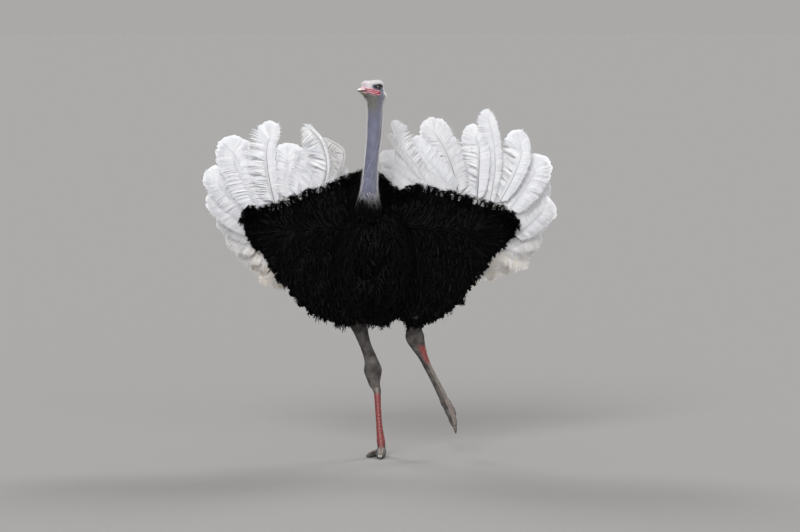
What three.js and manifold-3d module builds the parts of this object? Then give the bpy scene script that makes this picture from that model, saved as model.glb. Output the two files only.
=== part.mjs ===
// An ostrich: an adult male of the blue-necked race, life size, as a still museum model.
// Millimetres, +Z up. The bird faces -Y, its right side is -X. It stands on its right foot,
// with the left foot lifted in mid-stride and both wings spread.
import * as THREE from 'three';
import { mergeVertices } from 'three/addons/utils/BufferGeometryUtils.js';
import Module from 'manifold-3d';

const wasm = await Module();
wasm.setup();

// ---- Driving dimensions ----------------------------------------------------------------
const GAP = 0.35; // clearance left between solids that meet
const FOOT_Y = 62; // how far the standing leg is moved along Y, to stand under the weight

const HEAD_CENTRE = [-36, -425, 2396]; // midway between the eyes
const HEAD_TURN = THREE.MathUtils.degToRad(50); // to the bird's right
const EYE_RADIUS = 24;
const EYE_OUT = 29; // eyeball centre, sideways from the middle of the head
const EYE_FORWARD = -3;
const BILL_FROM = 76; // where the horn of the bill starts, forward of the eyes
const MOUTH_DROP = -19.5; // the line of the mouth below the eyes at the bill

const NECK_CUTS = [2312, 2110, 1920]; // heights of the thin cuts that part the neck
const LEG_SIDES = 9;
const SKULL_CORNERS = 3; // 2 is an oval section, and more is boxier

// Stations: [x, y, z, half width, half depth].
const NECK = [
  [-33, -421, 2388, 40, 50],
  [-32, -422, 2364, 52, 82],
  [-31, -422, 2340, 59, 88],
  [-28, -416, 2310, 52, 69],
  [-29, -410, 2271, 50, 56],
  [-34, -402, 2150, 49, 50],
  [-41, -400, 2041, 48, 49],
  [-55, -396, 1890, 49, 50],
  [-67, -384, 1745, 54, 60],
  [-72, -356, 1620, 74, 86],
  [-70, -310, 1520, 92, 100],
];

const TRUNK = [
  [-70, -480, 1330, 30, 36],
  [-68, -466, 1332, 90, 116],
  [-62, -415, 1335, 180, 240],
  [-48, -310, 1315, 250, 350],
  [-30, -150, 1290, 288, 420],
  [-8, 40, 1282, 300, 422],
  [18, 240, 1292, 285, 385],
  [42, 420, 1315, 232, 300],
  [62, 560, 1345, 156, 196],
  [72, 636, 1368, 84, 104],
  [74, 664, 1376, 26, 32],
];

// The mantle: the hump of plumage behind the foot of the neck, up to the spread shoulders.
const MANTLE = [
  [-70, -60, 1440, 170, 280],
  [-74, -85, 1620, 178, 262],
  [-78, -120, 1745, 164, 200],
  [-80, -145, 1808, 140, 140],
  [-80, -155, 1838, 104, 84],
  [-80, -158, 1848, 40, 30],
];

// Black covert shields: how far out, and the heights of their upper and lower edges.
const SHIELD_OUT = [75, 120, 190, 260, 390, 515, 645, 775, 840, 872, 884];
const SHIELD_TOP = {
  left: [1704, 1706, 1732, 1748, 1716, 1684, 1648, 1604, 1566, 1520, 1484],
  right: [1740, 1780, 1812, 1782, 1732, 1690, 1630, 1598, 1592, 1556, 1516],
};
const SHIELD_LOW = {
  left: [1000, 930, 858, 862, 912, 1004, 1186, 1338, 1398, 1432, 1458],
  right: [1000, 930, 862, 868, 912, 990, 1150, 1316, 1374, 1424, 1480],
};
const shieldDeep = (out) => (80 - 0.055 * out) * Math.sqrt(1 - (out / 892) ** 8);

// The wings sweep back as they go out; the plumes are rooted just behind the shield.
const WING_Y = -205;
const WING_SWEEP = 0.34;
const ROOT_BEHIND = 96;
const ROOT_SWEEP = WING_SWEEP - 0.055;

// Fleshy trailing edge the plumes grow from: [out, height, half height]; the forearm carries
// the secondaries and the hand the primaries.
const FOREARM = [[210, 1600, 40], [330, 1580, 76], [480, 1546, 84], [620, 1500, 84], [744, 1462, 70]];
const HAND = [[748, 1430, 74], [790, 1422, 66], [832, 1414, 40]];
const TRAILING_DEEP = 15;

// Plumes: [root out, root height, bow, tip out, tip height, half width].
const SECONDARIES = {
  left: [
    [389, 1592, -40, 26, 1885, 47],
    [700, 1495, 27, 7, 1963, 63],
    [393, 1591, -4, 52, 2090, 24],
    [428, 1583, -67, 84, 2174, 47],
    [644, 1518, -20, 213, 2064, 70],
    [541, 1551, 78, 310, 2198, 92],
    [589, 1535, 38, 485, 2009, 82],
    [617, 1526, 96, 582, 2145, 84],
    [686, 1505, 100, 687, 2261, 60],
    [698, 1501, 130, 896, 2136, 88],
  ],
  right: [
    [422, 1584, 70, 181, 1787, 46],
    [416, 1586, 7, 213, 1883, 54],
    [405, 1588, -150, 369, 2062, 30],
    [394, 1590, -150, 369, 1991, 28],
    [398, 1590, -150, 505, 2152, 58],
    [583, 1537, -51, 304, 1902, 63],
    [551, 1548, -15, 362, 1959, 79],
    [579, 1538, -22, 447, 2010, 88],
    [594, 1534, 31, 590, 2022, 85],
    [653, 1515, 130, 675, 2183, 88],
  ],
};
const PRIMARIES = {
  left: [
    [768, 1468, 52, 1041, 1953, 92],
    [784, 1454, 49, 1094, 1795, 73],
    [799, 1441, 50, 1127, 1639, 86],
    [810, 1428, 40, 1082, 1423, 79],
    [800, 1419, 40, 1049, 1320, 70],
    [791, 1411, 40, 990, 1222, 66],
    [781, 1402, 36, 858, 1147, 63],
    [772, 1393, 20, 727, 1097, 57],
    [762, 1384, 10, 577, 1074, 51],
  ],
  right: [
    [768, 1468, -54, 892, 1999, 73],
    [782, 1456, -9, 983, 2071, 100],
    [796, 1444, -7, 1116, 1854, 90],
    [810, 1432, 12, 1117, 1704, 82],
    [805, 1423, 50, 1071, 1580, 76],
    [796, 1415, 60, 1012, 1458, 73],
    [788, 1408, 60, 960, 1347, 70],
    [779, 1400, 50, 893, 1251, 63],
    [771, 1392, 30, 815, 1147, 60],
    [762, 1384, 10, 716, 1078, 50],
  ],
};
const PLUME_LEAN = 95; // how far a tip lies behind its root, beyond the sweep of the wing
const PLUME_THICK = 11; // half thickness of the fluffy vane at its root

// Tail: a low fan of short plumes on the rump.
const TAIL_ROOT = [68, 560, 1420];
const TAIL_COUNT = 7;
const TAIL_SPREAD = 1.1; // radians from the middle to the last plume
const TAIL_LENGTH = 400;

// Standing leg, hip to toe joint.
const LEG_RIGHT = [
  [-170, 110, 1220, 80, 110],
  [-204, 66, 1095, 110, 148],
  [-186, 2, 968, 86, 110],
  [-136, 8, 845, 54, 66],
  [-97, 36, 725, 38, 46],
  [-62, 62, 630, 43, 44],
  [-47, 72, 552, 55, 52],
  [-38, 68, 474, 40, 40],
  [-20, 58, 420, 26, 32],
  [-15, 44, 335, 21, 28],
  [-6, 26, 200, 21, 26],
  [6, 8, 92, 28, 32],
  [10, 2, 52, 26, 30],
];
const CUTS_RIGHT = [905, 640, 450, 70]; // heights: thigh, shank, ankle, tarsus, foot

// Lifted leg, hip to toe joint: the knee is drawn up inside the belly plumage.
const LEG_LEFT = [
  [170, 110, 1220, 80, 110],
  [214, -36, 1105, 106, 132],
  [212, -108, 1000, 80, 94],
  [214, -50, 900, 56, 60],
  [222, 10, 830, 50, 50],
  [226, 40, 777, 60, 54],
  [250, 52, 712, 46, 46],
  [278, 62, 650, 31, 36],
  [306, 72, 587, 26, 31],
  [340, 84, 520, 25, 29],
  [374, 97, 452, 26, 28],
  [404, 109, 392, 28, 31],
  [414, 113, 368, 25, 29],
];
const CUTS_LEFT = [930, 838, 690, 384];

// Toes: the long inner toe with its big claw, and the short outer toe without one.
const TOES_RIGHT = {
  inner: [[10, 34, 24, 20, 26], [9, 14, 34, 31, 38], [7, -45, 23, 31, 30], [4, -110, 19, 29, 25],
    [2, -165, 15, 24, 21], [1, -186, 12, 14, 14]],
  outer: [[-2, 24, 22, 14, 22], [-14, -2, 20, 22, 28], [-46, -50, 17, 22, 23],
    [-72, -88, 13, 19, 18], [-82, -103, 8, 10, 11]],
  claw: [[1, -170, 18, 15, 13], [1, -190, 15, 14, 12], [0, -212, 10, 9, 8], [0, -226, 4, 3, 3]],
};
const TOES_LEFT = {
  inner: [[405, 138, 376, 20, 22], [415, 116, 362, 30, 32], [438, 82, 318, 31, 28],
    [462, 48, 262, 28, 24], [478, 22, 214, 23, 20], [483, 14, 196, 13, 13]],
  outer: [[408, 128, 370, 14, 20], [428, 122, 356, 21, 26], [458, 116, 312, 21, 21],
    [478, 106, 274, 18, 17], [484, 101, 260, 10, 10]],
  claw: [[480, 20, 210, 14, 12], [485, 13, 190, 13, 11], [489, 8, 168, 8, 8], [490, 7, 152, 3, 3]],
};

// ---- Finishes --------------------------------------------------------------------------
const finish = (color, roughness, metalness = 0) => (
  () => new THREE.MeshStandardMaterial({ color, roughness, metalness, flatShading: true })
);
const FINISH = {
  skin: finish(0x7f8090, 0.75),
  shin: finish(0xa8564c, 0.7),
  bill: finish(0xb08088, 0.45),
  claw: finish(0x4a4440, 0.5),
  eye: finish(0x14100e, 0.08),
  black: finish(0x121214, 0.85),
  white: finish(0xdddce2, 0.9),
};

// ---- Geometry helpers --------------------------------------------------------------------
// Cubic through rows of numbers, all rows alike in length; t runs from 0 to 1.
function between(rows, t) {
  const place = t * (rows.length - 1);
  const first = Math.min(Math.floor(place), rows.length - 2);
  const f = place - first;
  const row = (i) => rows[Math.max(0, Math.min(rows.length - 1, i))];
  const [a, b, c, d] = [row(first - 1), row(first), row(first + 1), row(first + 2)];
  return b.map((value, k) => {
    const slopeIn = (c[k] - a[k]) / 2;
    const slopeOut = (d[k] - b[k]) / 2;
    const rise = c[k] - b[k];
    return value + f * (slopeIn + f * (3 * rise - 2 * slopeIn - slopeOut
      + f * (slopeIn + slopeOut - 2 * rise)));
  });
}

// Closed solid from rings of points, each end shut by a fan.
function solidFromRings(rings) {
  const sides = rings[0].length;
  const points = rings.flat();
  const middle = (ring) => ring.reduce((sum, p) => sum.add(p), new THREE.Vector3())
    .divideScalar(ring.length);
  points.push(middle(rings[0]), middle(rings[rings.length - 1]));
  const firstCap = points.length - 2;
  const lastCap = points.length - 1;
  const lastRing = (rings.length - 1) * sides;
  const index = [];
  for (let j = 0; j < sides; j += 1) {
    const k = (j + 1) % sides;
    for (let i = 0; i < rings.length - 1; i += 1) {
      const low = i * sides;
      const high = low + sides;
      index.push(low + j, low + k, high + k, low + j, high + k, high + j);
    }
    index.push(firstCap, k, j, lastCap, lastRing + j, lastRing + k);
  }
  return asSolid(points, index);
}

// A manifold solid, turned right side out where its volume comes out negative.
function asSolid(points, index) {
  const a = new THREE.Vector3();
  let volume = 0;
  for (let i = 0; i < index.length; i += 3) {
    volume += a.crossVectors(points[index[i]], points[index[i + 1]]).dot(points[index[i + 2]]);
  }
  const triVerts = new Uint32Array(index);
  if (volume < 0) {
    for (let i = 0; i < triVerts.length; i += 3) {
      [triVerts[i], triVerts[i + 1]] = [triVerts[i + 1], triVerts[i]];
    }
  }
  const vertProperties = new Float32Array(points.flatMap((p) => [p.x, p.y, p.z]));
  return new wasm.Manifold(new wasm.Mesh({ numProp: 3, vertProperties, triVerts }));
}

// An oval section carried through stations; "across" gives the direction of the half depth.
// An upright form keeps its sections in the plane of "across" and the Z axis. Sections with
// more than two "corners" are boxier than an oval.
function limb(stations, how) {
  const { steps, sides = 12, across = [0, -1, 0], swell = 0, upright = false, corners = 2 } = how;
  const front = new THREE.Vector3(...across);
  const at = (t) => new THREE.Vector3(...between(stations, t).slice(0, 3));
  const rings = [];
  for (let i = 0; i <= steps; i += 1) {
    const t = i / steps;
    const [x, y, z, wide, deep] = between(stations, t);
    const along = at(Math.min(1, t + 0.01)).sub(at(Math.max(0, t - 0.01))).normalize();
    if (upright) along.set(1, 0, 0);
    const depth = front.clone().addScaledVector(along, -front.dot(along)).normalize();
    const width = new THREE.Vector3().crossVectors(depth, along);
    const ring = [];
    for (let j = 0; j < sides; j += 1) {
      const angle = (2 * Math.PI * (j + 0.5)) / sides;
      const c = Math.cos(angle);
      const r = Math.sin(angle);
      const boxy = (Math.abs(c) ** corners + Math.abs(r) ** corners) ** (-1 / corners);
      ring.push(new THREE.Vector3(x, y, z)
        .addScaledVector(width, (wide + swell) * c * boxy)
        .addScaledVector(depth, (deep + swell) * r * boxy));
    }
    rings.push(ring);
  }
  return solidFromRings(rings);
}

// An eyeball from a sphere geometry.
function ball(centre, radius) {
  const sphere = new THREE.SphereGeometry(radius, 10, 7).translate(...centre);
  sphere.deleteAttribute('normal');
  sphere.deleteAttribute('uv');
  const merged = mergeVertices(sphere);
  const place = merged.attributes.position;
  const points = Array.from({ length: place.count }, (_, i) => (
    new THREE.Vector3().fromBufferAttribute(place, i)));
  return asSolid(points, Array.from(merged.index.array));
}

// The part of a solid between two heights, with half the gap taken from each cut.
function slice(solid, top, low) {
  let cut = solid;
  if (low !== undefined) cut = cut.trimByPlane([0, 0, 1], low + GAP / 2);
  if (top !== undefined) cut = cut.trimByPlane([0, 0, -1], -(top - GAP / 2));
  return cut;
}

const largest = (solid) => solid.decompose().sort((a, b) => b.volume() - a.volume())[0];
const joined = (solids) => solids.reduce((whole, solid) => whole.add(solid));

const bird = new THREE.Group();

// One sub-part: the largest body of the solid, as a named mesh with its own material.
function piece(name, solid, material) {
  const mesh = largest(solid).getMesh();
  const geometry = new THREE.BufferGeometry();
  geometry.setAttribute('position', new THREE.BufferAttribute(mesh.vertProperties, 3));
  geometry.setIndex(new THREE.BufferAttribute(mesh.triVerts, 1));
  const part = new THREE.Mesh(geometry, material());
  part.name = name;
  bird.add(part);
}

// ---- Trunk and neck ------------------------------------------------------------------------
function trunkSolid(swell) {
  const body = limb(TRUNK, { steps: 14, sides: 16, across: [0, 0, 1], swell });
  const mantle = limb(MANTLE, { steps: 6, sides: 10, swell });
  return body.add(mantle);
}
const trunk = trunkSolid(0);
const trunkRoom = trunkSolid(GAP);
piece('trunk', trunk, FINISH.black);

// Head point from (forward, left, up) about the middle between the eyes.
const FORWARD = new THREE.Vector3(-Math.sin(HEAD_TURN), -Math.cos(HEAD_TURN), 0);
const LEFTWARD = new THREE.Vector3(Math.cos(HEAD_TURN), -Math.sin(HEAD_TURN), 0);
function inHead(forward, left, up) {
  return new THREE.Vector3(...HEAD_CENTRE)
    .addScaledVector(FORWARD, forward)
    .addScaledVector(LEFTWARD, left)
    .add(new THREE.Vector3(0, 0, up)).toArray();
}

// A form along the head: rows of [forward, up, half width, half height].
function headForm(rows, steps, sides, corners, swell = 0) {
  const stations = rows.map(([forward, up, wide, high]) => [...inHead(forward, 0, up), wide, high]);
  return limb(stations, { steps, sides, across: [0, 0, 1], swell, corners });
}

const SKULL = [
  [-62, -17, 4, 5],
  [-58, -13, 17, 24],
  [-52, -9, 34, 41],
  [-34, -6, 47, 51],
  [-6, -6, 53, 50],
  [20, -6, 53, 47.5],
  [42, -5.5, 52, 47],
  [56, -5, 49, 47],
  [66, -4.5, 45, 45.5],
  [73, -8, 38, 41],
  [79, -13, 31, 33],
];
const BILL = [
  [58, -12, 38, 38],
  [74, -18, 33, 31],
  [90, -21, 28, 25],
  [106, -20, 23, 17],
  [119, -18.5, 17, 10],
  [127, -18.5, 8, 5],
];

function headWhole(swell) {
  return headForm(SKULL, 10, 14, SKULL_CORNERS, swell)
    .add(limb(NECK, { steps: 13, sides: 10, across: FORWARD.toArray(), swell }));
}
const eyes = { left: inHead(EYE_FORWARD, EYE_OUT, 3), right: inHead(EYE_FORWARD, -EYE_OUT, 3) };
const headAndNeck = headWhole(0);
let head = slice(headAndNeck, undefined, NECK_CUTS[0]);
Object.entries(eyes).forEach(([side, centre]) => {
  head = head.subtract(ball(centre, EYE_RADIUS + GAP));
  piece(`eye_${side}`, ball(centre, EYE_RADIUS), FINISH.eye);
});

// The bill starts at a plane across the head and is parted along the mouth.
const acrossHead = FORWARD.toArray();
const billPlane = FORWARD.dot(new THREE.Vector3(...inHead(BILL_FROM, 0, 0)));
head = head.trimByPlane(acrossHead.map((value) => -value), -(billPlane - GAP / 2));
const bill = headForm(BILL, 7, 10, 2).trimByPlane(acrossHead, billPlane + GAP / 2);
const mouth = HEAD_CENTRE[2] + MOUTH_DROP;
piece('head', head, FINISH.skin);
piece('bill_upper', slice(bill, undefined, mouth), FINISH.bill);
piece('bill_lower', slice(bill, mouth, undefined), FINISH.bill);

const neckFree = headAndNeck.subtract(trunkRoom);
piece('neck_upper', slice(neckFree, NECK_CUTS[0], NECK_CUTS[1]), FINISH.skin);
piece('neck_middle', slice(neckFree, NECK_CUTS[1], NECK_CUTS[2]), FINISH.skin);
piece('neck_lower', slice(neckFree, NECK_CUTS[2], undefined), FINISH.skin);

// ---- Wings ---------------------------------------------------------------------------------
const SIDES = { left: 1, right: -1 };
function shieldSolid(name, sign, swell) {
  const stations = SHIELD_OUT.map((out, i) => {
    const top = SHIELD_TOP[name][i];
    const low = SHIELD_LOW[name][i];
    const y = WING_Y + WING_SWEEP * out;
    return [sign * out, y, (top + low) / 2, (top - low) / 2, shieldDeep(out)];
  });
  return limb(stations, { steps: 12, sides: 12, swell, upright: true });
}

const rootY = (out) => WING_Y + ROOT_BEHIND + ROOT_SWEEP * out;
function trailingEdge(rows, sign, swell) {
  const stations = rows.map(([out, height, half]) => (
    [sign * out, rootY(out), height, half, TRAILING_DEEP]));
  return limb(stations, { steps: 4, sides: 6, swell, upright: true });
}

// Half widths of a plume from root to tip, as parts of its widest.
const PLUME_SHAPE = [0.3, 0.76, 1, 1.06, 0.94, 0.36];
const SQUARE = Math.SQRT2; // a four-sided section reaches its half width at its corners
function plume(sign, [rootOut, rootZ, bow, tipOut, tipZ, wide], rank, swell) {
  const along = new THREE.Vector2(tipOut - rootOut, tipZ - rootZ);
  const middle = new THREE.Vector2(rootOut + tipOut, rootZ + tipZ).divideScalar(2)
    .add(new THREE.Vector2(along.y, -along.x).normalize().multiplyScalar(bow));
  const stagger = rank % 2 === 0 ? 3 : -3;
  const stations = PLUME_SHAPE.map((share, i) => {
    const t = i / (PLUME_SHAPE.length - 1);
    const weights = [(1 - t) ** 2, 2 * t * (1 - t), t ** 2];
    const out = weights[0] * rootOut + weights[1] * middle.x + weights[2] * tipOut;
    const z = weights[0] * rootZ + weights[1] * middle.y + weights[2] * tipZ;
    const y = rootY(out) + stagger + PLUME_LEAN * t ** 1.6;
    return [sign * out, y, z, share * wide * SQUARE, PLUME_THICK * (1 - 0.6 * t) * SQUARE];
  });
  return limb(stations, { steps: 4, sides: 4, swell });
}

// Plumes joined to the edge they grow from.
function fan(sign, edge, rows, swell) {
  return joined([trailingEdge(edge, sign, swell), ...rows.map((row, i) => plume(sign, row, i, swell))]);
}

const shieldRooms = {};
Object.entries(SIDES).forEach(([name, sign]) => {
  const shield = shieldSolid(name, sign, 0).subtract(trunkRoom);
  const shieldRoom = shieldSolid(name, sign, GAP);
  shieldRooms[name] = shieldRoom;
  const secondaries = fan(sign, FOREARM, SECONDARIES[name], 0);
  const secondaryRoom = fan(sign, FOREARM, SECONDARIES[name], GAP);
  const primaries = fan(sign, HAND, PRIMARIES[name], 0);
  piece(`wing_${name}_coverts`, shield, FINISH.black);
  piece(`wing_${name}_secondaries`, secondaries.subtract(trunkRoom).subtract(shieldRoom),
    FINISH.white);
  piece(`wing_${name}_primaries`, primaries.subtract(trunkRoom).subtract(shieldRoom)
    .subtract(secondaryRoom), FINISH.white);
});

// ---- Tail ----------------------------------------------------------------------------------
function tailPlume(rank) {
  const turn = (rank / (TAIL_COUNT - 1) - 0.5) * 2;
  const angle = turn * TAIL_SPREAD;
  const reach = TAIL_LENGTH * (1 - 0.2 * turn ** 2);
  const stations = [0, 0.25, 0.5, 0.75, 0.93, 1].map((t, i) => [
    TAIL_ROOT[0] + Math.sin(angle) * reach * t * 0.7,
    TAIL_ROOT[1] + Math.cos(angle * 0.6) * reach * t * (1 - 0.35 * t),
    TAIL_ROOT[2] + reach * (0.75 * t - 0.95 * t * t) - 50 * turn ** 2,
    [30, 50, 62, 60, 46, 16][i],
    [20, 18, 15, 12, 9, 6][i],
  ]);
  return limb(stations, { steps: 5, sides: 4, across: [0, 0.4, 1] });
}
const tail = joined(Array.from({ length: TAIL_COUNT }, (_, rank) => tailPlume(rank)));
piece('tail', tail.subtract(trunkRoom), FINISH.white);

// ---- Legs and feet ---------------------------------------------------------------------------
const LEG_PARTS = ['thigh', 'shank', 'ankle', 'tarsus'];
const LEG_FINISH = { left: FINISH.skin, right: FINISH.shin };

function buildLeg(side, stations, cuts, toes, shiftY) {
  const moved = (rows) => rows.map(([x, y, ...rest]) => [x, y + shiftY, ...rest]);
  const legStations = moved(stations);
  const leg = limb(legStations, { steps: 18, sides: LEG_SIDES });
  const legRoom = limb(legStations, { steps: 18, sides: LEG_SIDES, swell: GAP });
  const free = leg.subtract(trunkRoom).subtract(shieldRooms[side]);
  LEG_PARTS.forEach((part, i) => {
    const top = i === 0 ? undefined : cuts[i - 1];
    const material = part === 'tarsus' ? LEG_FINISH[side] : FINISH.skin;
    piece(`leg_${side}_${part}`, slice(free, top, cuts[i]), material);
  });
  const across = side === 'right' ? [0, 0, 1] : [0.35, -0.7, 0.6];
  const form = (key, sides, swell = 0) => (
    limb(moved(toes[key]), { steps: toes[key].length, sides, across, swell })
      .trimByPlane([0, 0, 1], 0));
  const legEnd = slice(legRoom, undefined, cuts[3]);
  const inner = form('inner', 8).subtract(legEnd);
  const innerRoom = form('inner', 8, GAP);
  const outer = form('outer', 8).subtract(legEnd).subtract(innerRoom);
  piece(`toe_${side}_inner`, inner, FINISH.skin);
  piece(`toe_${side}_outer`, outer, FINISH.skin);
  piece(`claw_${side}`, form('claw', 6).subtract(innerRoom), FINISH.claw);
}
buildLeg('right', LEG_RIGHT, CUTS_RIGHT, TOES_RIGHT, FOOT_Y);
buildLeg('left', LEG_LEFT, CUTS_LEFT, TOES_LEFT, 0);

// ---- Place: the middle of the footprint of the whole at the origin, the soles at Z = 0 --------
bird.updateMatrixWorld(true);
const box = new THREE.Box3().setFromObject(bird, true);
bird.position.set(-(box.min.x + box.max.x) / 2, -(box.min.y + box.max.y) / 2, -box.min.z);
bird.updateMatrixWorld(true);

export default bird;
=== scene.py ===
# %% [markdown]
# # A male ostrich with spread wings, life size
# The solids give every part its place and size. This lesson dresses them: one skin for all the bare
# flesh, horn for the bill, claws and scales, wet eyes, and a coat of real mesh feathers. Every
# surface is worked out with numpy on a grid, in whole arrays, and then handed to Blender.

import math

import bpy
import numpy as np
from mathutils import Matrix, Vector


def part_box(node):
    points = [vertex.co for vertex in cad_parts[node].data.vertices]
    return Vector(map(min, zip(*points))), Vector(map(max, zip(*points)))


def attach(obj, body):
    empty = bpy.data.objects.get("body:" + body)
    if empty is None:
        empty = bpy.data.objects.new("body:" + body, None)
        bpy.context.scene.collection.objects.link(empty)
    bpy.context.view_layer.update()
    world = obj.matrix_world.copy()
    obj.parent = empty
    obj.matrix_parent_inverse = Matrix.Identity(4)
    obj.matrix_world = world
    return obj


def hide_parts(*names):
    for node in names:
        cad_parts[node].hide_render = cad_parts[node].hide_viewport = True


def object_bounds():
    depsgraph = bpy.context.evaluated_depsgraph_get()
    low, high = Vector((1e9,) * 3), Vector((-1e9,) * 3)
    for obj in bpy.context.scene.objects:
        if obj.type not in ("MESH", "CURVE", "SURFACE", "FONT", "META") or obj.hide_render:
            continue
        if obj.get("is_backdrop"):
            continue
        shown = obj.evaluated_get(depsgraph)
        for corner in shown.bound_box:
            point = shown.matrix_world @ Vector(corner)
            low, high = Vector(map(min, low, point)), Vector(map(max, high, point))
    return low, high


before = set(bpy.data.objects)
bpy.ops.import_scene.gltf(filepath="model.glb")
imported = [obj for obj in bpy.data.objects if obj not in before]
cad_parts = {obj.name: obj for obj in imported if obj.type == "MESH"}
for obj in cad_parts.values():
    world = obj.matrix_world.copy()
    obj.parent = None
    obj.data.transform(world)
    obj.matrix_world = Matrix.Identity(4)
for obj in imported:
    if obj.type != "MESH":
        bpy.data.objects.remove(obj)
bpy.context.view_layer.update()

# %% [markdown]
# ## Places and sizes
# The tables below are written as a maker would measure the bird, in millimetres from a mark on the
# floor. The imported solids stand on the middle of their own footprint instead, so one shift takes a
# measured place into the frame. It is read off the left eyeball, whose middle is known in both.

# %% The head's own axes, and the shift into the frame
MM = 0.001
HEAD_CENTRE = np.array([-36.0, -425.0, 2396.0])  # midway between the eyes
HEAD_TURN = math.radians(50)                     # the head is turned to the bird's right
FORWARD = np.array([-math.sin(HEAD_TURN), -math.cos(HEAD_TURN), 0.0])
LEFTWARD = np.array([math.cos(HEAD_TURN), -math.sin(HEAD_TURN), 0.0])
UPWARD = np.array([0.0, 0.0, 1.0])
VIEWER = np.array([0.0, -1.0, 0.0])              # the way that the breast faces
EYE_RADIUS, EYE_FORWARD, EYE_OUT, EYE_UP = 24.0, -3.0, 29.0, 3.0


def in_head(forward, left, up):
    """Measured places from distances forward, left and up from the middle between the eyes."""
    forward, left, up = (np.asarray(x, float)[..., None] for x in (forward, left, up))
    return HEAD_CENTRE + forward * FORWARD + left * LEFTWARD + up * UPWARD


eye_low, eye_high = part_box("eye_left")
SHIFT = np.array((eye_low + eye_high) / 2) - in_head(EYE_FORWARD, EYE_OUT, EYE_UP) * MM


def place(points):
    """Measured millimetres as metres in the frame."""
    return np.asarray(points, float) * MM + SHIFT


print("shift in mm:", np.round(SHIFT / MM, 2))

# %% [markdown]
# ## Camera
# The bird is seen from far away with a long lens, a little from above. The camera comes first, so
# that each new piece can be judged from where it will be seen.

# %% Camera
CAMERA_DISTANCE = 25.0
CAMERA_RISE = math.radians(3.5)
LENS_MM, SENSOR_MM = 174.4, 36.0
CAMERA_AIM = [129, 0, 1239]  # the middle of the view
FARTHEST = 5000.0            # metres that the camera sees
look_at = place(CAMERA_AIM)
camera = bpy.data.objects.new("camera", bpy.data.cameras.new("camera"))
bpy.context.scene.collection.objects.link(camera)
back = np.array([0, -math.cos(CAMERA_RISE), math.sin(CAMERA_RISE)])
camera.location = look_at + CAMERA_DISTANCE * back
camera.rotation_euler = (math.pi / 2 - CAMERA_RISE, 0, 0)
camera.data.lens = LENS_MM
camera.data.sensor_width = SENSOR_MM
camera.data.clip_end = FARTHEST
bpy.context.scene.camera = camera
print("camera", tuple(round(x, 3) for x in camera.location))

# %% [markdown]
# ## Curves, sections and noise
# Flesh and feathers alike are sections carried along a path. A path is a short table of stations,
# and a cubic runs through them. An oval carried along it gives necks, legs, toes and trunk. Smooth
# noise keeps the surfaces from looking turned on a lathe.


# %% Curves through tables
def through(rows, t):
    """Cubic through rows of numbers, with t from 0 to 1 over all of them: at each row the curve has
    the slope of the chord from the row before to the row after."""
    rows = np.asarray(rows, float)
    last = len(rows) - 1
    spot = np.clip(np.asarray(t, float), 0, 1) * last
    first = np.minimum(spot.astype(int), last - 1)
    f = (spot - first)[..., None]
    a, b, c, d = (rows[np.clip(first + k, 0, last)] for k in (-1, 0, 1, 2))
    slope_in, slope_out, rise = (c - a) / 2, (d - b) / 2, c - b
    bend = 3 * rise - 2 * slope_in - slope_out + f * (slope_in + slope_out - 2 * rise)
    return b + f * (slope_in + f * bend)


def read_off(rows, at):
    """The other columns of a table whose first column grows, read off at places in that column."""
    fine = through(rows, np.linspace(0, 1, 240))
    return [np.interp(at, fine[:, 0], fine[:, k]) for k in range(1, fine.shape[1])]


def unit(vectors):
    """The same vectors at length one."""
    return vectors / np.maximum(np.linalg.norm(vectors, axis=-1, keepdims=True), 1e-12)


def square_to(vectors, axis):
    """Unit vectors: what is left of the vectors when their share along a unit axis is taken away."""
    return unit(vectors - axis * np.sum(vectors * axis, axis=-1, keepdims=True))


def ease(low, high, value):
    """0 below low, 1 above high, and a smooth step between."""
    f = np.clip((value - low) / (high - low), 0, 1)
    return f * f * (3 - 2 * f)


def noise(points, size, seed):
    """Smooth noise from -1 to 1: random numbers on a lattice one size apart, blended in x, y and z."""
    dice = np.random.default_rng(seed).uniform(-1, 1, (32, 32, 32))
    spot = points / size
    cell = np.floor(spot).astype(int)
    f = spot - cell
    f = f * f * (3 - 2 * f)
    total = np.zeros(points.shape[:-1])
    for corner in np.ndindex(2, 2, 2):
        weight = np.prod(np.where(corner, f, 1 - f), axis=-1)
        i, j, k = np.moveaxis((cell + corner) % 32, -1, 0)
        total += weight * dice[i, j, k]
    return total


# %% Sections carried along a path
def tube(rows, t, angle, across=(0, -1, 0), upright=False, inset=0.0):
    """Points of an oval section carried through stations of x, y, z, half width and half depth. The
    depth points along across, made square to the path, and the width is square to both: the point is
    centre + width * half width * cos(angle) + depth * half depth * sin(angle)."""
    t, angle = np.broadcast_arrays(t, angle)
    station = through(rows, t)
    ahead = through(rows, t + 0.01)[..., :3] - through(rows, t - 0.01)[..., :3]
    along = np.broadcast_to([1.0, 0.0, 0.0], ahead.shape) if upright else unit(ahead)
    depth = square_to(np.broadcast_to(np.asarray(across, float), along.shape), along)
    width = np.cross(depth, along)
    wide = np.maximum(station[..., 3] - inset, 0.5) * np.cos(angle)
    deep = np.maximum(station[..., 4] - inset, 0.5) * np.sin(angle)
    return station[..., :3] + width * wide[..., None] + depth * deep[..., None]


def rings(rows, count, sides, start=0.0, end=1.0, **how):
    """A grid of ring by side by xyz over a tube, from start to end of its path."""
    t = np.linspace(start, end, count)[:, None]
    angle = np.linspace(0, 2 * math.pi, sides, endpoint=False)[None]
    return tube(rows, t, angle, **how)


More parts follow.
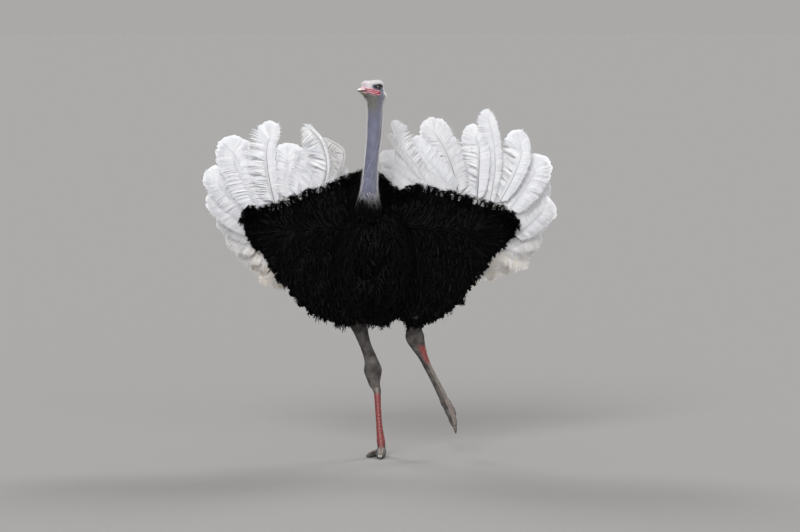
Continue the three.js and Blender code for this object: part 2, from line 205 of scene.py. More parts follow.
def outward(grid):
    """Unit normals of a grid of closed rings, turned away from each ring's own middle."""
    around = np.roll(grid, -1, axis=1) - np.roll(grid, 1, axis=1)
    normal = unit(np.cross(np.gradient(grid, axis=0), around))
    away = np.sum(normal * (grid - grid.mean(axis=1, keepdims=True)), axis=-1)
    return normal * np.where(away.mean(axis=1) < 0, -1.0, 1.0)[:, None, None]


# %% [markdown]
# ## Meshes
# A shell is a grid of rings with a point at each end, so that it is closed. Everything ends up as
# plain arrays of points, of faces and of numbers for each point, which one function puts in a mesh.


# %% Shells and pieces
def shell(grid):
    """Points and faces of a closed skin over a grid of rings: quads between rings, and a fan to a
    middle point at each end. Faces are turned so that the volume they hold is positive."""
    count, sides = grid.shape[:2]
    points = np.concatenate([grid.reshape(-1, 3), [grid[0].mean(axis=0), grid[-1].mean(axis=0)]])
    low = np.arange(count - 1)[:, None] * sides + np.arange(sides)
    low_next = np.arange(count - 1)[:, None] * sides + (np.arange(sides) + 1) % sides
    quads = np.stack([low, low_next, low_next + sides, low + sides], axis=-1).reshape(-1, 4)
    j, k = np.arange(sides), (np.arange(sides) + 1) % sides
    top = (count - 1) * sides
    caps = [np.stack([np.full(sides, len(points) - 2), k, j], axis=-1),
            np.stack([np.full(sides, len(points) - 1), top + j, top + k], axis=-1)]
    return right_side_out(points, [quads, *caps])


def right_side_out(points, faces):
    """Turns every face round if the faces hold a negative volume, as a sum of signed pyramids."""
    volume = sum(np.sum(np.cross(points[f[:, 0]], points[f[:, 1]]) * points[f[:, 2]])
                 + (np.sum(np.cross(points[f[:, 0]], points[f[:, 2]]) * points[f[:, 3]])
                    if f.shape[1] == 4 else 0) for f in faces)
    return points, (faces if volume > 0 else [f[:, ::-1] for f in faces])


def gather(shells):
    """Several lots of points and faces as one, with the faces renumbered."""
    starts = np.cumsum([0] + [len(points) for points, _ in shells])
    points = np.concatenate([points for points, _ in shells])
    return points, [f + start for start, (_, faces) in zip(starts, shells) for f in faces]


def piece(name, points, faces, material, slot, nodes=(), uv=None, smooth=True, **values):
    """One finished object: its points in the frame, its faces as arrays of corners, a material, and
    numbers for each point that the material reads. It rides on the still bird's one body."""
    mesh = bpy.data.meshes.new(name)
    corners = np.concatenate([f.ravel() for f in faces]).astype(np.int32)
    sizes = np.concatenate([np.full(len(f), f.shape[1]) for f in faces])
    mesh.vertices.add(len(points))
    mesh.vertices.foreach_set("co", np.ascontiguousarray(points, np.float32).ravel())
    mesh.loops.add(len(corners))
    mesh.loops.foreach_set("vertex_index", corners)
    mesh.polygons.add(len(sizes))
    mesh.polygons.foreach_set("loop_start", (np.cumsum(sizes) - sizes).astype(np.int32))
    mesh.update(calc_edges=True)
    mesh.polygons.foreach_set("use_smooth", np.full(len(sizes), smooth))
    for key, value in values.items():
        layer = mesh.attributes.new(key, "FLOAT", "POINT")
        layer.data.foreach_set("value", np.ascontiguousarray(value, np.float32))
    if uv is not None:
        layer = mesh.uv_layers.new(name="OFBake")
        layer.data.foreach_set("uv", np.ascontiguousarray(uv[corners], np.float32).ravel())
    mesh.materials.append(material)
    made = bpy.data.objects.new(name, mesh)
    bpy.context.scene.collection.objects.link(made)
    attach(made, "root")
    if nodes:
        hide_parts(*nodes)
    print(name, "triangles:", int(np.sum(sizes - 2)))
    return made


# %% [markdown]
# ## Feather parts
# A barb, a hair of down and a shaft have one shape at different sizes: a long blade that starts and
# ends in a point. Three sides are enough, and they make it solid. Thousands are worked out at once,
# each one row of the arrays. The bake map gives each a small patch at its root's place.


# %% Blades
PATCH = 0.003              # width of one blade's patch on the bake map
MARGIN, SPAN = 0.02, 0.96  # free rim and width of the unwrapped surface on the bake map


def blades(path, side, half, thick, uv, sweep=0.0, **values):
    """Closed three-sided blades along path (blade, station, xyz). A section reaches half to each
    side, and thick towards the blade's upper face. The first and the last station are points. Half
    may hold two columns, for the two sides, and sweep carries the edges forward by its share."""
    count, stations = path.shape[:2]
    along = unit(np.gradient(path, axis=1))
    side = square_to(side, along)
    ridge = path + np.cross(along, side) * thick[..., None]
    half = half[..., None] if half.ndim == 2 else half
    first_edge = path + (along * sweep - side) * half[..., :1]
    second_edge = path + (along * sweep + side) * half[..., -1:]
    ring = np.stack([first_edge, ridge, second_edge], axis=2)[:, 1:-1].reshape(count, -1, 3)
    points = np.concatenate([path[:, :1], ring, path[:, -1:]], axis=1)
    each = points.shape[1]
    a = 1 + 3 * np.arange(stations - 3)[:, None] + np.arange(3)
    b = 1 + 3 * np.arange(stations - 3)[:, None] + (np.arange(3) + 1) % 3
    quad = np.stack([a, a + 3, b + 3, b], axis=-1).reshape(-1, 4)
    j, k, last = np.arange(3), (np.arange(3) + 1) % 3, each - 4
    ends = np.concatenate([np.stack([0 * j, 1 + j, 1 + k], axis=-1),
                           np.stack([0 * j + each - 1, last + k, last + j], axis=-1)])
    first = np.arange(count)[:, None, None] * each
    share = np.linspace(0, 1, stations)
    station = np.concatenate([share[:1], np.repeat(share[1:-1], 3), share[-1:]])
    sideways = np.concatenate([[0], np.tile([-0.5, 0, 0.5], stations - 2), [0]])
    patch = np.stack([station - 0.5, sideways], axis=-1) * PATCH
    lot = {name: np.repeat(np.broadcast_to(value, (count,)), each) for name, value in values.items()}
    lot["along"] = np.tile(station, count)
    lot["uv"] = (uv[:, None] + patch).reshape(-1, 2)
    faces = [(first + ends).reshape(-1, 3)]
    if len(quad):
        faces.append((first + quad).reshape(-1, 4))
    return points.reshape(-1, 3), faces, lot


def coat(name, lots, material, slot, nodes=(), smooth=True):
    """One piece from several lots of blades, shaded smooth or flat."""
    points, faces = gather([(p, f) for p, f, _ in lots])
    values = {key: np.concatenate([lot[key] for _, _, lot in lots]) for key in lots[0][2]}
    return piece(name, points, faces, material, slot, nodes, smooth=smooth, **values)


# %% Curving blades over a surface
def arcs(root, lie, out, length, start, end, sway=0.0, stations=5, late=1.0):
    """Paths that leave their roots along lie, tilted towards out by start radians and turning to end
    by the tip (late above 1 keeps the turn for the tip), with sway as a sideways bend."""
    s = (np.arange(stations - 1) + 0.5) / (stations - 1)
    start, end, sway = (np.broadcast_to(x, length.shape)[:, None] for x in (start, end, sway))
    angle = start + (end - start) * s ** late
    side = np.cross(lie, out)
    step = (np.cos(angle)[..., None] * lie[:, None] + np.sin(angle)[..., None] * out[:, None]
            + (sway * s)[..., None] * side[:, None])
    step = unit(step) * (length / (stations - 1))[:, None, None]
    return np.concatenate([root[:, None], root[:, None] + np.cumsum(step, axis=1)], axis=1)


def taper(stations, half, fullest=0.35, point=0.7):
    """Half widths along a blade: it swells to its fullest part and then narrows to its tip."""
    share = np.linspace(0, 1, stations)
    swell = (share / fullest) ** 0.5 * (share < fullest) + (share >= fullest)
    narrow = np.clip((1 - share) / (1 - fullest), 0, 1) ** point
    return np.asarray(half)[:, None] * np.minimum(swell, narrow)


def scatter(grid, spacing, seed, weight=1.0):
    """Even places on a grid of rings, one for each spacing squared of its area: a stair of summed
    cell areas is climbed in equal steps. Gives points, normals and places on the unwrapped grid."""
    rng = np.random.default_rng(seed)
    a, b = grid[:-1], grid[1:]
    a_next, b_next = np.roll(a, -1, axis=1), np.roll(b, -1, axis=1)
    cross = np.cross(b_next - a, b - a_next)
    stairs = np.cumsum((np.linalg.norm(cross, axis=-1) / 2 * weight).ravel())
    count = int(stairs[-1] / spacing ** 2)
    climb = (np.arange(count) + rng.uniform(0, 1, count)) * stairs[-1] / count
    i, j = np.divmod(np.searchsorted(stairs, climb), grid.shape[1])
    u, v = rng.uniform(0, 1, (2, count, 1))
    points = (a[i, j] * (1 - u) + b[i, j] * u) * (1 - v) + (a_next[i, j] * (1 - u) + b_next[i, j] * u) * v
    uv = np.concatenate([(i[:, None] + u) / (len(grid) - 1), (j[:, None] + v) / grid.shape[1]], axis=-1)
    return points, outward(grid)[i, j], MARGIN + SPAN * uv


# %% [markdown]
# ## Colours and materials
# Each material is mixed from noise at the size that the real finish shows, on the bird's own
# coordinates in metres, and from numbers that the pieces carry for each point.


# %% Helpers for materials
def linear(code):
    """A hex sRGB colour as linear red, green, blue and alpha."""
    shares = np.array([int(code[i:i + 2], 16) for i in (1, 3, 5)]) / 255
    return (*np.where(shares <= 0.04045, shares / 12.92, ((shares + 0.055) / 1.055) ** 2.4), 1.0)


def node(tree, kind, settings=None, inputs=None):
    """Adds one node: its settings, and its inputs as plain values or as other nodes' outputs."""
    made = tree.nodes.new(kind)
    for key, value in (settings or {}).items():
        setattr(made, key, value)
    for key, value in (inputs or {}).items():
        if isinstance(value, bpy.types.NodeSocket):
            tree.links.new(value, made.inputs[key])
        else:
            made.inputs[key].default_value = value
    return made


def mixed(tree, share, first, second):
    """The output of a colour mix: hex codes or outputs, and a share as an output or a number."""
    colours = [linear(c) if isinstance(c, str) else c for c in (first, second)]
    made = node(tree, "ShaderNodeMix", {"data_type": "RGBA"}, {0: share, 6: colours[0], 7: colours[1]})
    return made.outputs[2]


def noise_node(tree, size, detail=2.0, stretch=(1, 1, 1)):
    """Noise whose grains are about size metres across on the bird, stretched along its axes."""
    where = node(tree, "ShaderNodeTexCoord").outputs["Object"]
    turned = node(tree, "ShaderNodeMapping", None, {"Vector": where, "Scale": stretch})
    return node(tree, "ShaderNodeTexNoise", None,
                {"Vector": turned.outputs[0], "Scale": 1 / size, "Detail": detail}).outputs["Fac"]


def spread(tree, value, low, high):
    """A value stretched so that low becomes 0 and high becomes 1, clamped."""
    return node(tree, "ShaderNodeMapRange", None, {0: value, 1: low, 2: high}).outputs[0]


def number(tree, name):
    """A number that the piece carries for each point."""
    return node(tree, "ShaderNodeAttribute", {"attribute_name": name}).outputs["Fac"]


def times(tree, first, second):
    """Two values multiplied."""
    return node(tree, "ShaderNodeMath", {"operation": "MULTIPLY"}, {0: first, 1: second}).outputs[0]


def finish_of(name):
    """A new material with an empty Principled shader on its output, and its node tree."""
    made = bpy.data.materials.new(name)
    made.use_nodes = True
    tree = made.node_tree
    return made, tree, tree.nodes["Principled BSDF"]


def surface(tree, shader, colour, roughness, gleam=0.5):
    """Gives the shader its colour, its roughness and the level of its gleam."""
    tree.links.new(colour, shader.inputs["Base Color"])
    shader.inputs["Roughness"].default_value = roughness
    shader.inputs["Specular IOR Level"].default_value = gleam


def lit_through(tree, shader, colour, share):
    """Mixes in a share of light that shines through from behind."""
    glow = node(tree, "ShaderNodeBsdfTranslucent", None, {"Color": colour})
    both = node(tree, "ShaderNodeMixShader", None, {0: share, 1: shader.outputs[0], 2: glow.outputs[0]})
    tree.links.new(both.outputs[0], tree.nodes["Material Output"].inputs["Surface"])


def bump(tree, shader, height, distance, strength):
    """Sends a height to the shader's normal; distance is the relief in metres."""
    relief = node(tree, "ShaderNodeBump", None,
                  {"Height": height, "Distance": distance, "Strength": strength})
    tree.links.new(relief.outputs[0], shader.inputs["Normal"])


# %% [markdown]
# Bare ostrich skin is soft and dull. It is blue-grey on the neck, brown-grey and pebbled on the legs,
# and rose at the gape and shins. Where plumage covers it, it is painted as dark as the plumage, as
# painted shade in the gaps between feathers. Seen edge on, the skin of the head and neck is painted
# pale: partly the down that piles up there, and partly a painted rim of light.

# %% Bare skin
skin_finish, tree, shader = finish_of("bare_ostrich_skin")
mottle = noise_node(tree, 0.045, 4)
neck_colour = mixed(tree, spread(tree, mottle, 0.3, 0.75), "#505266", "#6C6E84")
neck_colour = mixed(tree, number(tree, "olive"), neck_colour, "#5A5A55")
leg_colour = mixed(tree, spread(tree, mottle, 0.35, 0.7), "#3A3736", "#5F5B59")
colour = mixed(tree, number(tree, "leg"), neck_colour, leg_colour)
colour = mixed(tree, number(tree, "pale"), colour, "#E6E1E8")
# Paler seen edge on: partly the down piling up there, partly a painted rim of light, as light from behind
# would give
facing = node(tree, "ShaderNodeLayerWeight", None, {0: 0.5}).outputs["Facing"]
downy = node(tree, "ShaderNodeMath", {"operation": "SUBTRACT"}, {0: 0.85, 1: number(tree, "leg")})
rim = times(tree, spread(tree, facing, 0.5, 0.8), downy.outputs[0])  # down is denser seen edge on, and this also paints a bright rim of light
colour = mixed(tree, rim, colour, "#F6F3EE")
shin_rose = mixed(tree, spread(tree, noise_node(tree, 0.012, 3), 0.35, 0.65), "#6A2B2C", "#94514E")
# The gape's rose: painted shade in the furrows of its folds and painted highlights on their ridges
gape_rose = mixed(tree, number(tree, "fold"), "#96344A", "#EBBCC2")
rose = mixed(tree, number(tree, "leg"), gape_rose, shin_rose)
colour = mixed(tree, number(tree, "rosy"), colour, rose)
# Near black: the dark skin round the eye, and painted shade under its brow, in the ear, on the lids, on the
# skin under the plumage and up the thigh; the foot of the neck darkens into the plumage
colour = mixed(tree, number(tree, "dark"), colour, "#060608")
surface(tree, shader, colour, 0.62, 0.08)
where = node(tree, "ShaderNodeTexCoord").outputs["Object"]
pebbles = node(tree, "ShaderNodeTexVoronoi", {"feature": "DISTANCE_TO_EDGE"},
               {"Vector": where, "Scale": 1 / 0.008}).outputs["Distance"]
pebbled = times(tree, spread(tree, pebbles, 0.0, 0.25), number(tree, "leg"))
grain = times(tree, noise_node(tree, 0.003, 3, (1, 1, 0.6)), 0.5)
bump(tree, shader, node(tree, "ShaderNodeMath", {"operation": "ADD"}, {0: pebbled, 1: grain}).outputs[0],
     0.0015, 0.8)

# %% Black plumage
black_finish, tree, shader = finish_of("black_feather")
colour = mixed(tree, number(tree, "tone"), "#010102", "#040405")
# Tips a little lighter: painted glints on the ends of the barbs
colour = mixed(tree, spread(tree, number(tree, "along"), 0.6, 1.4), colour, "#070708")
surface(tree, shader, colour, 0.55, 0.06)

# %% White plumage
white_finish, tree, shader = finish_of("white_plume")
colour = mixed(tree, number(tree, "tone"), "#DBDCE1", "#F9F9F9")
low = node(tree, "ShaderNodeSeparateXYZ", None,
           {0: node(tree, "ShaderNodeTexCoord").outputs["Object"]}).outputs["Z"]
# Cream low down: a dusty tone of the low plumes, and painted light, as the cream is brighter than the white
# and lifts the low plumes that lie in shade
dust_and_painted_light = times(tree, spread(tree, low, 1.45, 1.15), spread(tree, noise_node(tree, 0.05, 3), 0.3, 0.7))
colour = mixed(tree, times(tree, dust_and_painted_light, 0.8), colour, "#FFF7E8")
# Painted shade on the plumes that stand in shade, as much as the table gives
colour = mixed(tree, number(tree, "dusk"), colour, "#A39A90")
# Shafts painted grey-brown: painted shade along the quills, which are cream
colour = mixed(tree, number(tree, "shaft"), colour, "#5F5B55")
surface(tree, shader, colour, 0.6)
lit_through(tree, shader, colour, 0.45)

# %% Down on the neck and head
down_finish, tree, shader = finish_of("grey_down")
colour = mixed(tree, number(tree, "tone"), "#C6C6CC", "#F2F0F0")
colour = mixed(tree, number(tree, "pale"), colour, "#F4F1F2")
# The down takes the skin's dark: near the eye its dark skin and painted shade, painted shade in the ear,
# and the dark foot of the neck
colour = mixed(tree, number(tree, "dark"), colour, "#121214")
surface(tree, shader, colour, 0.7)
lit_through(tree, shader, colour, 0.4)

# %% Horn of the bill, of the scales and of the claws
bill_finish, tree, shader = finish_of("bill_horn")
streaks = noise_node(tree, 0.006, 3, (1, 1, 3))
colour = mixed(tree, spread(tree, streaks, 0.3, 0.7), "#BF8E9C", "#DDB9C4")
colour = mixed(tree, spread(tree, number(tree, "reach"), 0.55, 0.95), colour, "#E3D6CC")
colour = mixed(tree, number(tree, "olive"), colour, "#77745F")
colour = mixed(tree, number(tree, "rosy"), colour, "#BC5463")
# Near black: painted shade in the mouth line between the halves, in the nostril and round it
colour = mixed(tree, number(tree, "dark"), colour, "#0E0708")
surface(tree, shader, colour, 0.38)
bump(tree, shader, streaks, 0.0006, 0.6)

scute_finish, tree, shader = finish_of("shin_scute_horn")
worn = spread(tree, noise_node(tree, 0.008, 4), 0.3, 0.75)
red = mixed(tree, worn, "#5C2527", "#8C4744")
grey = mixed(tree, worn, "#544E4A", "#7E7871")
colour = mixed(tree, number(tree, "rosy"), grey, red)
surface(tree, shader, colour, 0.45)
bump(tree, shader, worn, 0.0006, 0.7)

claw_finish, tree, shader = finish_of("claw_horn")
colour = mixed(tree, spread(tree, noise_node(tree, 0.01, 4, (1, 1, 4)), 0.3, 0.7), "#2E2A27", "#5A524B")
surface(tree, shader, colour, 0.4)

# %% Eyes
eye_finish, tree, shader = finish_of("wet_eye")
gaze = number(tree, "gaze")  # degrees away from the middle of the pupil
streak = noise_node(tree, 0.0015, 3)
iris = mixed(tree, spread(tree, streak, 0.3, 0.7), "#150C08", "#2C1B10")
colour = mixed(tree, spread(tree, gaze, 19, 21), "#040304", iris)
colour = mixed(tree, spread(tree, gaze, 34, 38), colour, "#120C0A")
surface(tree, shader, colour, 0.25)
shader.inputs["Coat Weight"].default_value = 1.0
shader.inputs["Coat Roughness"].default_value = 0.02

lash_finish, tree, shader = finish_of("black_lash")
shader.inputs["Base Color"].default_value = linear("#0C0B0B")
shader.inputs["Roughness"].default_value = 0.4
print("materials:", len(bpy.data.materials))

# %% [markdown]
# ## Head and neck
# A head that bends ninety degrees off its neck is hard to carry a section round, because the
# sections would cross at the throat. So the head and the neck are written as two rounded forms that
# flow into each other, and rays find their common surface. The rays start on a line through the
# middle of the neck and the head, and fan round a pivot in front of the throat.

# %% Tables of the head and neck
SKULL = [
    [-62, -17, 0.5, 0.5], [-58, -13, 17, 24], [-52, -9, 34, 41], [-34, -6, 47, 51],
    [-6, -6, 53, 50], [20, -6, 53, 47.5], [42, -5.5, 52, 47], [56, -5, 49, 47],
    [66, -4.5, 45, 45.5], [72, -7, 38, 41.5], [77, -12, 31, 33], [82, -17, 22, 22], [88, -20.5, 6, 5],
]  # forward, up, half width, half height
NECK = [
    [-33, -421, 2388, 40, 50], [-32, -422, 2364, 52, 82], [-31, -422, 2340, 59, 88],
    [-28, -416, 2310, 52, 69], [-29, -410, 2271, 50, 56], [-34, -402, 2150, 49, 50],
    [-41, -400, 2041, 48, 49], [-55, -396, 1890, 49, 50], [-67, -384, 1745, 54, 60],
    [-72, -356, 1620, 74, 86], [-70, -310, 1520, 92, 100],
]  # x, y, z, half width, half depth
DOWN_DEPTH = 3.0                 # the down's depth over the skin
SKULL_CORNERS = 3.6              # 2 is an oval section, and more is boxier
THROAT_FLOW = 16.0               # how softly the jaw runs into the neck
PIVOT = np.array([88.0, -95.0])  # forward and up, in front of the throat
FAN_REACH = [[76], [108], [123], [119], [104]]  # from the pivot to the middle of the flesh
NECK_END = 1530.0                # height at which the neck goes into the breast
FAN_COUNT, NECK_COUNT, HEAD_SIDES = 140, 96, 168

neck_rows = np.array(NECK)[::-1]
neck_table = np.stack([
    neck_rows[:, 2] - HEAD_CENTRE[2], (neck_rows[:, :3] - HEAD_CENTRE) @ FORWARD,
    (neck_rows[:, :3] - HEAD_CENTRE) @ LEFTWARD, neck_rows[:, 3], neck_rows[:, 4]], axis=-1)


# %% The two forms and how they flow together
def flesh_depth(forward, left, up):
    """About how far a point lies outside the head and neck. Each form is a rounded section, and the
    lesser of the two is blended with the other where they are nearly equal."""
    mid, wide, high = read_off(SKULL, forward)
    share = (np.abs(left / wide) ** SKULL_CORNERS + np.abs((up - mid) / high) ** SKULL_CORNERS)
    skull = (share ** (1 / SKULL_CORNERS) - 1) * np.minimum(wide, high)
    fore, side, wide, deep = read_off(neck_table, up)
    neck = (np.hypot((left - side) / wide, (forward - fore) / deep) - 1) * np.minimum(wide, deep)
    neck = neck + np.maximum(up + 8, 0)
    blend = np.clip(0.5 + 0.5 * (neck - skull) / THROAT_FLOW, 0, 1)
    return neck + (skull - neck) * blend - THROAT_FLOW * blend * (1 - blend)


def traced(origin, ray, reach=120.0, steps=61):
    """The place along each ray where it leaves the flesh: the first step outside, taken back by the
    share that the depths before and after it give. The distances are then evened out from ring to
    ring, six times by a quarter, a half and a quarter, so that the nape has no ridge."""
    r = np.linspace(0, reach, steps)
    spots = origin[..., None, :] + ray[..., None, :] * r[:, None]
    depth = flesh_depth(*np.moveaxis(spots, -1, 0)) + DOWN_DEPTH
    first = np.maximum(np.argmax(depth > 0, axis=-1), 1)[..., None]
    inside, outside = np.take_along_axis(depth, first - 1, -1), np.take_along_axis(depth, first, -1)
    distance = r[first - 1] + (r[first] - r[first - 1]) * inside / (inside - outside)
    for _ in range(6):
        distance[1:-1] = (distance[:-2] + 2 * distance[1:-1] + distance[2:]) / 4
    return origin + ray * distance


# %% Rays round the bend, then straight down the neck
fan = np.linspace(math.pi / 2, math.pi, FAN_COUNT)
reach = through(FAN_REACH, np.linspace(0, 1, FAN_COUNT))[:, 0]
down = np.linspace(PIVOT[1], NECK_END - HEAD_CENTRE[2], NECK_COUNT + 1)[1:]
fore, side = read_off(neck_table, down)[:2]
zeros = np.zeros(FAN_COUNT)
origin = np.concatenate([
    np.stack([PIVOT[0] + reach * np.cos(fan), zeros, PIVOT[1] + reach * np.sin(fan)], axis=-1),
    np.stack([fore, side, down], axis=-1)])
outer = np.concatenate([np.stack([np.cos(fan), zeros, np.sin(fan)], axis=-1),
                        np.tile([-1.0, 0, 0], (NECK_COUNT, 1))])
turn = np.linspace(0, 2 * math.pi, HEAD_SIDES, endpoint=False)[None, :, None]
ray = np.cos(turn) * np.array([0, 1.0, 0]) + np.sin(turn) * outer[:, None]
head_grid = traced(np.broadcast_to(origin[:, None], ray.shape), ray)
print("head and neck rings:", head_grid.shape, "top", head_grid[..., 2].max())

# %% [markdown]
# The folds of the face lie at known distances from the eye, so they are written as a height over
# the smooth head. The gape is a swollen band that runs back from the bill, with folds along it. A brow
# shades the eye, and the ear is a hole behind it.

# %% Lines and spots on the side of the head
GAPE = np.array([[86, -12], [66, -17], [47, -24], [26, -29], [2, -35]], float)
BROW = np.array([[-36, 8], [-22, 21], [-3, 27], [22, 24], [48, 15]], float)
GAPE_WIDTH = np.array([[-14, 13], [20, 21], [60, 21], [86, 12]], float)  # forward, half width
FOLD_GAP = 11.5                                                   # between two folds of the gape
EAR, CHEEK, HOLLOW = (-36.0, -20.0), (-18.0, -27.0), (46.0, 3.0)  # the hollow lies before the eye
RING_AT, RING_HALF, RING_TILT = (10.0, 6.0), (47.0, 16.0), 0.13   # the dark skin round the eye, and painted shade under the brow


def near_line(forward, up, line, width):
    """1 on a line drawn through points on the side of the head, falling off like a bell."""
    spots = through(line, np.linspace(0, 1, 50))
    away = np.min(np.hypot(forward[..., None] - spots[:, 0], up[..., None] - spots[:, 1]), axis=-1)
    return np.exp(-(away / width) ** 2)


def near_spot(forward, up, spot, wide, high):
    """1 on a spot, falling off like a bell that is wide by high."""
    return np.exp(-((forward - spot[0]) / wide) ** 2 - ((up - spot[1]) / high) ** 2)


def gape_fold(forward, up):
    """The folds of the gape from -1 in a furrow to 1 on a ridge: the cosine of a whole turn for each
    gap of height over its line, and the folds wander a little on their way back."""
    over = up - np.interp(forward, GAPE[::-1, 0], GAPE[::-1, 1])
    return np.cos(2 * math.pi * (over + 1.5 * np.sin(forward / 11)) / FOLD_GAP)


def face_relief(forward, left, up):
    """Height of the face over the smooth head in millimetres: the socket that the eyeball fills and
    the ear's hole, each with its rim, the brow, the cheek, a hollow, and the gape with its folds."""
    eye = np.hypot((forward - EYE_FORWARD) / 21, (up - EYE_UP) / 19)
    socket = -11 * (1 - ease(0.72, 1.0, eye)) + 2.0 * np.exp(-((eye - 1.2) / 0.18) ** 2)
    brow = 4.5 * near_line(forward, up, BROW, 5.5)
    hollow = -3.0 * near_spot(forward, up, HOLLOW, 12, 9)
    cheek = 2.5 * near_spot(forward, up, CHEEK, 15, 11)
    gape = near_line(forward, up, GAPE, 17.0)
    folds = 3.6 * np.where(gape > 0.3, gape_fold(forward, up), 0)
    ear = np.hypot((forward - EAR[0]) / 6, (up - EAR[1]) / 7)
    hole = -7 * np.exp(-(ear / 0.7) ** 2) + 2.0 * np.exp(-((ear - 1.3) / 0.3) ** 2)
    relief = socket + brow + hollow + cheek + 2.4 * gape + folds + hole
    return relief * ease(10, 26, np.abs(left))


forward, left, up = np.moveaxis(head_grid, -1, 0)
relief = face_relief(forward, left, up)
print("face relief from", relief.min().round(1), "to", relief.max().round(1), "mm")

# %% [markdown]
# The neck is a soft tube over the windpipe and long muscles. One crease crosses its front from the
# left under the jaw to the right above the breast, and fainter folds run down it.

# %% Folds of the neck
CREASE = np.array([[-700, -80], [-570, -49], [-344, 44], [-236, 62], [-106, 75]], float)
NECK_RADIUS = 49.0
FOLD_COUNT = 7
flesh = in_head(forward, left, up)
middle = flesh.mean(axis=1, keepdims=True)  # bearings go round it, from 0 in front
bearing = np.arctan2(flesh[..., 0] - middle[..., 0], -(flesh[..., 1] - middle[..., 1]))
crease = np.radians(np.interp(up, CREASE[:, 0], CREASE[:, 1]))
beside = bearing - crease
on_neck = ease(-95, -150, up) * ease(-690, -600, up)
relief += on_neck * (-3.4 * np.exp(-(beside * NECK_RADIUS / 6) ** 2)
                     + 2.4 * np.exp(-((beside - 0.42) / 0.3) ** 2))
for k in range(FOLD_COUNT):
    wander = np.radians(k * 51 - 170) + 0.16 * np.sin(up / 85 + 2.1 * k) - bearing
    relief -= 0.9 * ease(-70, -120, up) * np.exp(-(np.sin(wander / 2) * 2 * NECK_RADIUS / 4.5) ** 2)
rings_of_skin = np.sin(up / 1.6 + 3 * noise(head_grid, 30.0, 5))
relief += 0.45 * rings_of_skin * ease(-60, -80, up) * ease(-170, -110, up)
relief += 0.8 * noise(head_grid, 14.0, 7) + 0.35 * noise(head_grid, 5.0, 8)
head_normal = outward(head_grid)
head_skin = head_grid + head_normal * relief[..., None]
head_surface = place(in_head(*np.moveaxis(head_skin, -1, 0)))

# %% [markdown]
# Colour follows the same lines. The gape is rose, with painted highlights on the ridges of its folds
# and painted shade in their furrows. The ring round the eye is nearly black: its dark skin, and painted
# shade under the brow that runs forward towards the bill. The ear's hole holds painted shade. The crown
# is pale, and the foot of the neck darkens in mottles into the black plumage.

# %% Where the head and neck are rosy, pale or dark, and where shade and highlights are painted
on_side = ease(8, 22, np.abs(left))
gape_wide = np.interp(forward, GAPE_WIDTH[:, 0], GAPE_WIDTH[:, 1])
gape = near_line(forward, up, GAPE, gape_wide) * on_side * ease(-20, -6, forward)
head_rosy = 0.94 * np.clip(2.0 * gape - 0.55, 0, 1)
# 1 on the ridges of the gape's folds, where highlights are painted, and 0 in the furrows, where shade is
# painted
fold = 0.5 + 0.5 * gape_fold(forward, up)
head_fold = ease(0.4, 0.85, fold * (0.75 + 0.55 * noise(head_grid, 11.0, 14)) + 0.12)
before, above = forward - RING_AT[0], up - RING_AT[1]
eye_ring = np.hypot(before / RING_HALF[0], (above - RING_TILT * before) / RING_HALF[1])
eye_ring = eye_ring + 0.1 * noise(head_grid, 7.0, 11)
# Near black round the eye, less so towards the bill: its dark skin and painted shade under the brow;
# painted shade in the ear's hole
head_dark = np.maximum((0.84 - 0.4 * ease(26, 56, forward)) * (1 - ease(0.55, 1.2, eye_ring)) * on_side,
                       0.8 * near_spot(forward, up, EAR, 5, 6) * on_side)
mottles = 0.5 + 0.5 * noise(head_grid * [1, 1, 0.6], 16.0, 9)
neck_foot = ease(-640, -760, up + 70 * (mottles - 0.5))
head_dark = np.maximum(head_dark, neck_foot)
crown = ease(10, 24, up + 6 * noise(head_grid, 15.0, 12))
head_pale = np.maximum(crown, ease(40, 62, forward) * ease(-20, -6, up))
head_pale = np.clip(head_pale + 0.4 * ease(-30, -50, forward) * ease(-70, -30, up), 0, 1)
head_olive = ease(-24, -44, up) * ease(-190, -110, up) * ease(-20, 20, forward)

# %% [markdown]
# ## Trunk, wings and legs under the plumage
# These are carried sections, drawn in under the plumage by its depth. The legs fork at the foot, so
# the leg and its toes are remeshed into one smooth body, which no carried section could give.

# %% Tables of the trunk and wings
TRUNK = [
    [-70, -480, 1330, 30, 36], [-68, -466, 1332, 90, 116], [-62, -415, 1335, 180, 240],
    [-48, -310, 1315, 250, 350], [-30, -150, 1290, 288, 420], [-8, 40, 1282, 300, 422],
    [18, 240, 1292, 285, 385], [42, 420, 1315, 232, 300], [62, 560, 1345, 156, 196],
    [72, 636, 1368, 84, 104], [74, 664, 1376, 26, 32],
]  # x, y, z, half width, half height
MANTLE = [
    [-70, -60, 1440, 170, 280], [-74, -85, 1620, 178, 262], [-78, -120, 1745, 164, 200],
    [-80, -145, 1808, 140, 140], [-80, -155, 1838, 104, 84], [-80, -158, 1848, 40, 30],
]  # x, y, z, half width, half depth
SHIELD_OUT = np.array([75, 120, 190, 260, 390, 515, 645, 775, 840, 872, 884], float)
SHIELD_TOP = {"left": [1704, 1706, 1732, 1748, 1716, 1684, 1648, 1604, 1566, 1520, 1484],
              "right": [1740, 1780, 1812, 1782, 1732, 1690, 1630, 1598, 1592, 1556, 1516]}
SHIELD_LOW = {"left": [1000, 930, 858, 862, 912, 1004, 1186, 1338, 1398, 1432, 1458],
              "right": [1000, 930, 862, 868, 912, 990, 1150, 1316, 1374, 1424, 1480]}
SHIELD_TIP, SHIELD_END = 892.0, 874.0  # how far out its outline and its feathers reach
WING_Y, WING_SWEEP = -205.0, 0.34
SIDES = {"left": 1.0, "right": -1.0}
BODY_COAT, SHIELD_COAT = 34.0, 26.0  # depth of the black plumage on the body and on the wings
TRUNK_RINGS = 40


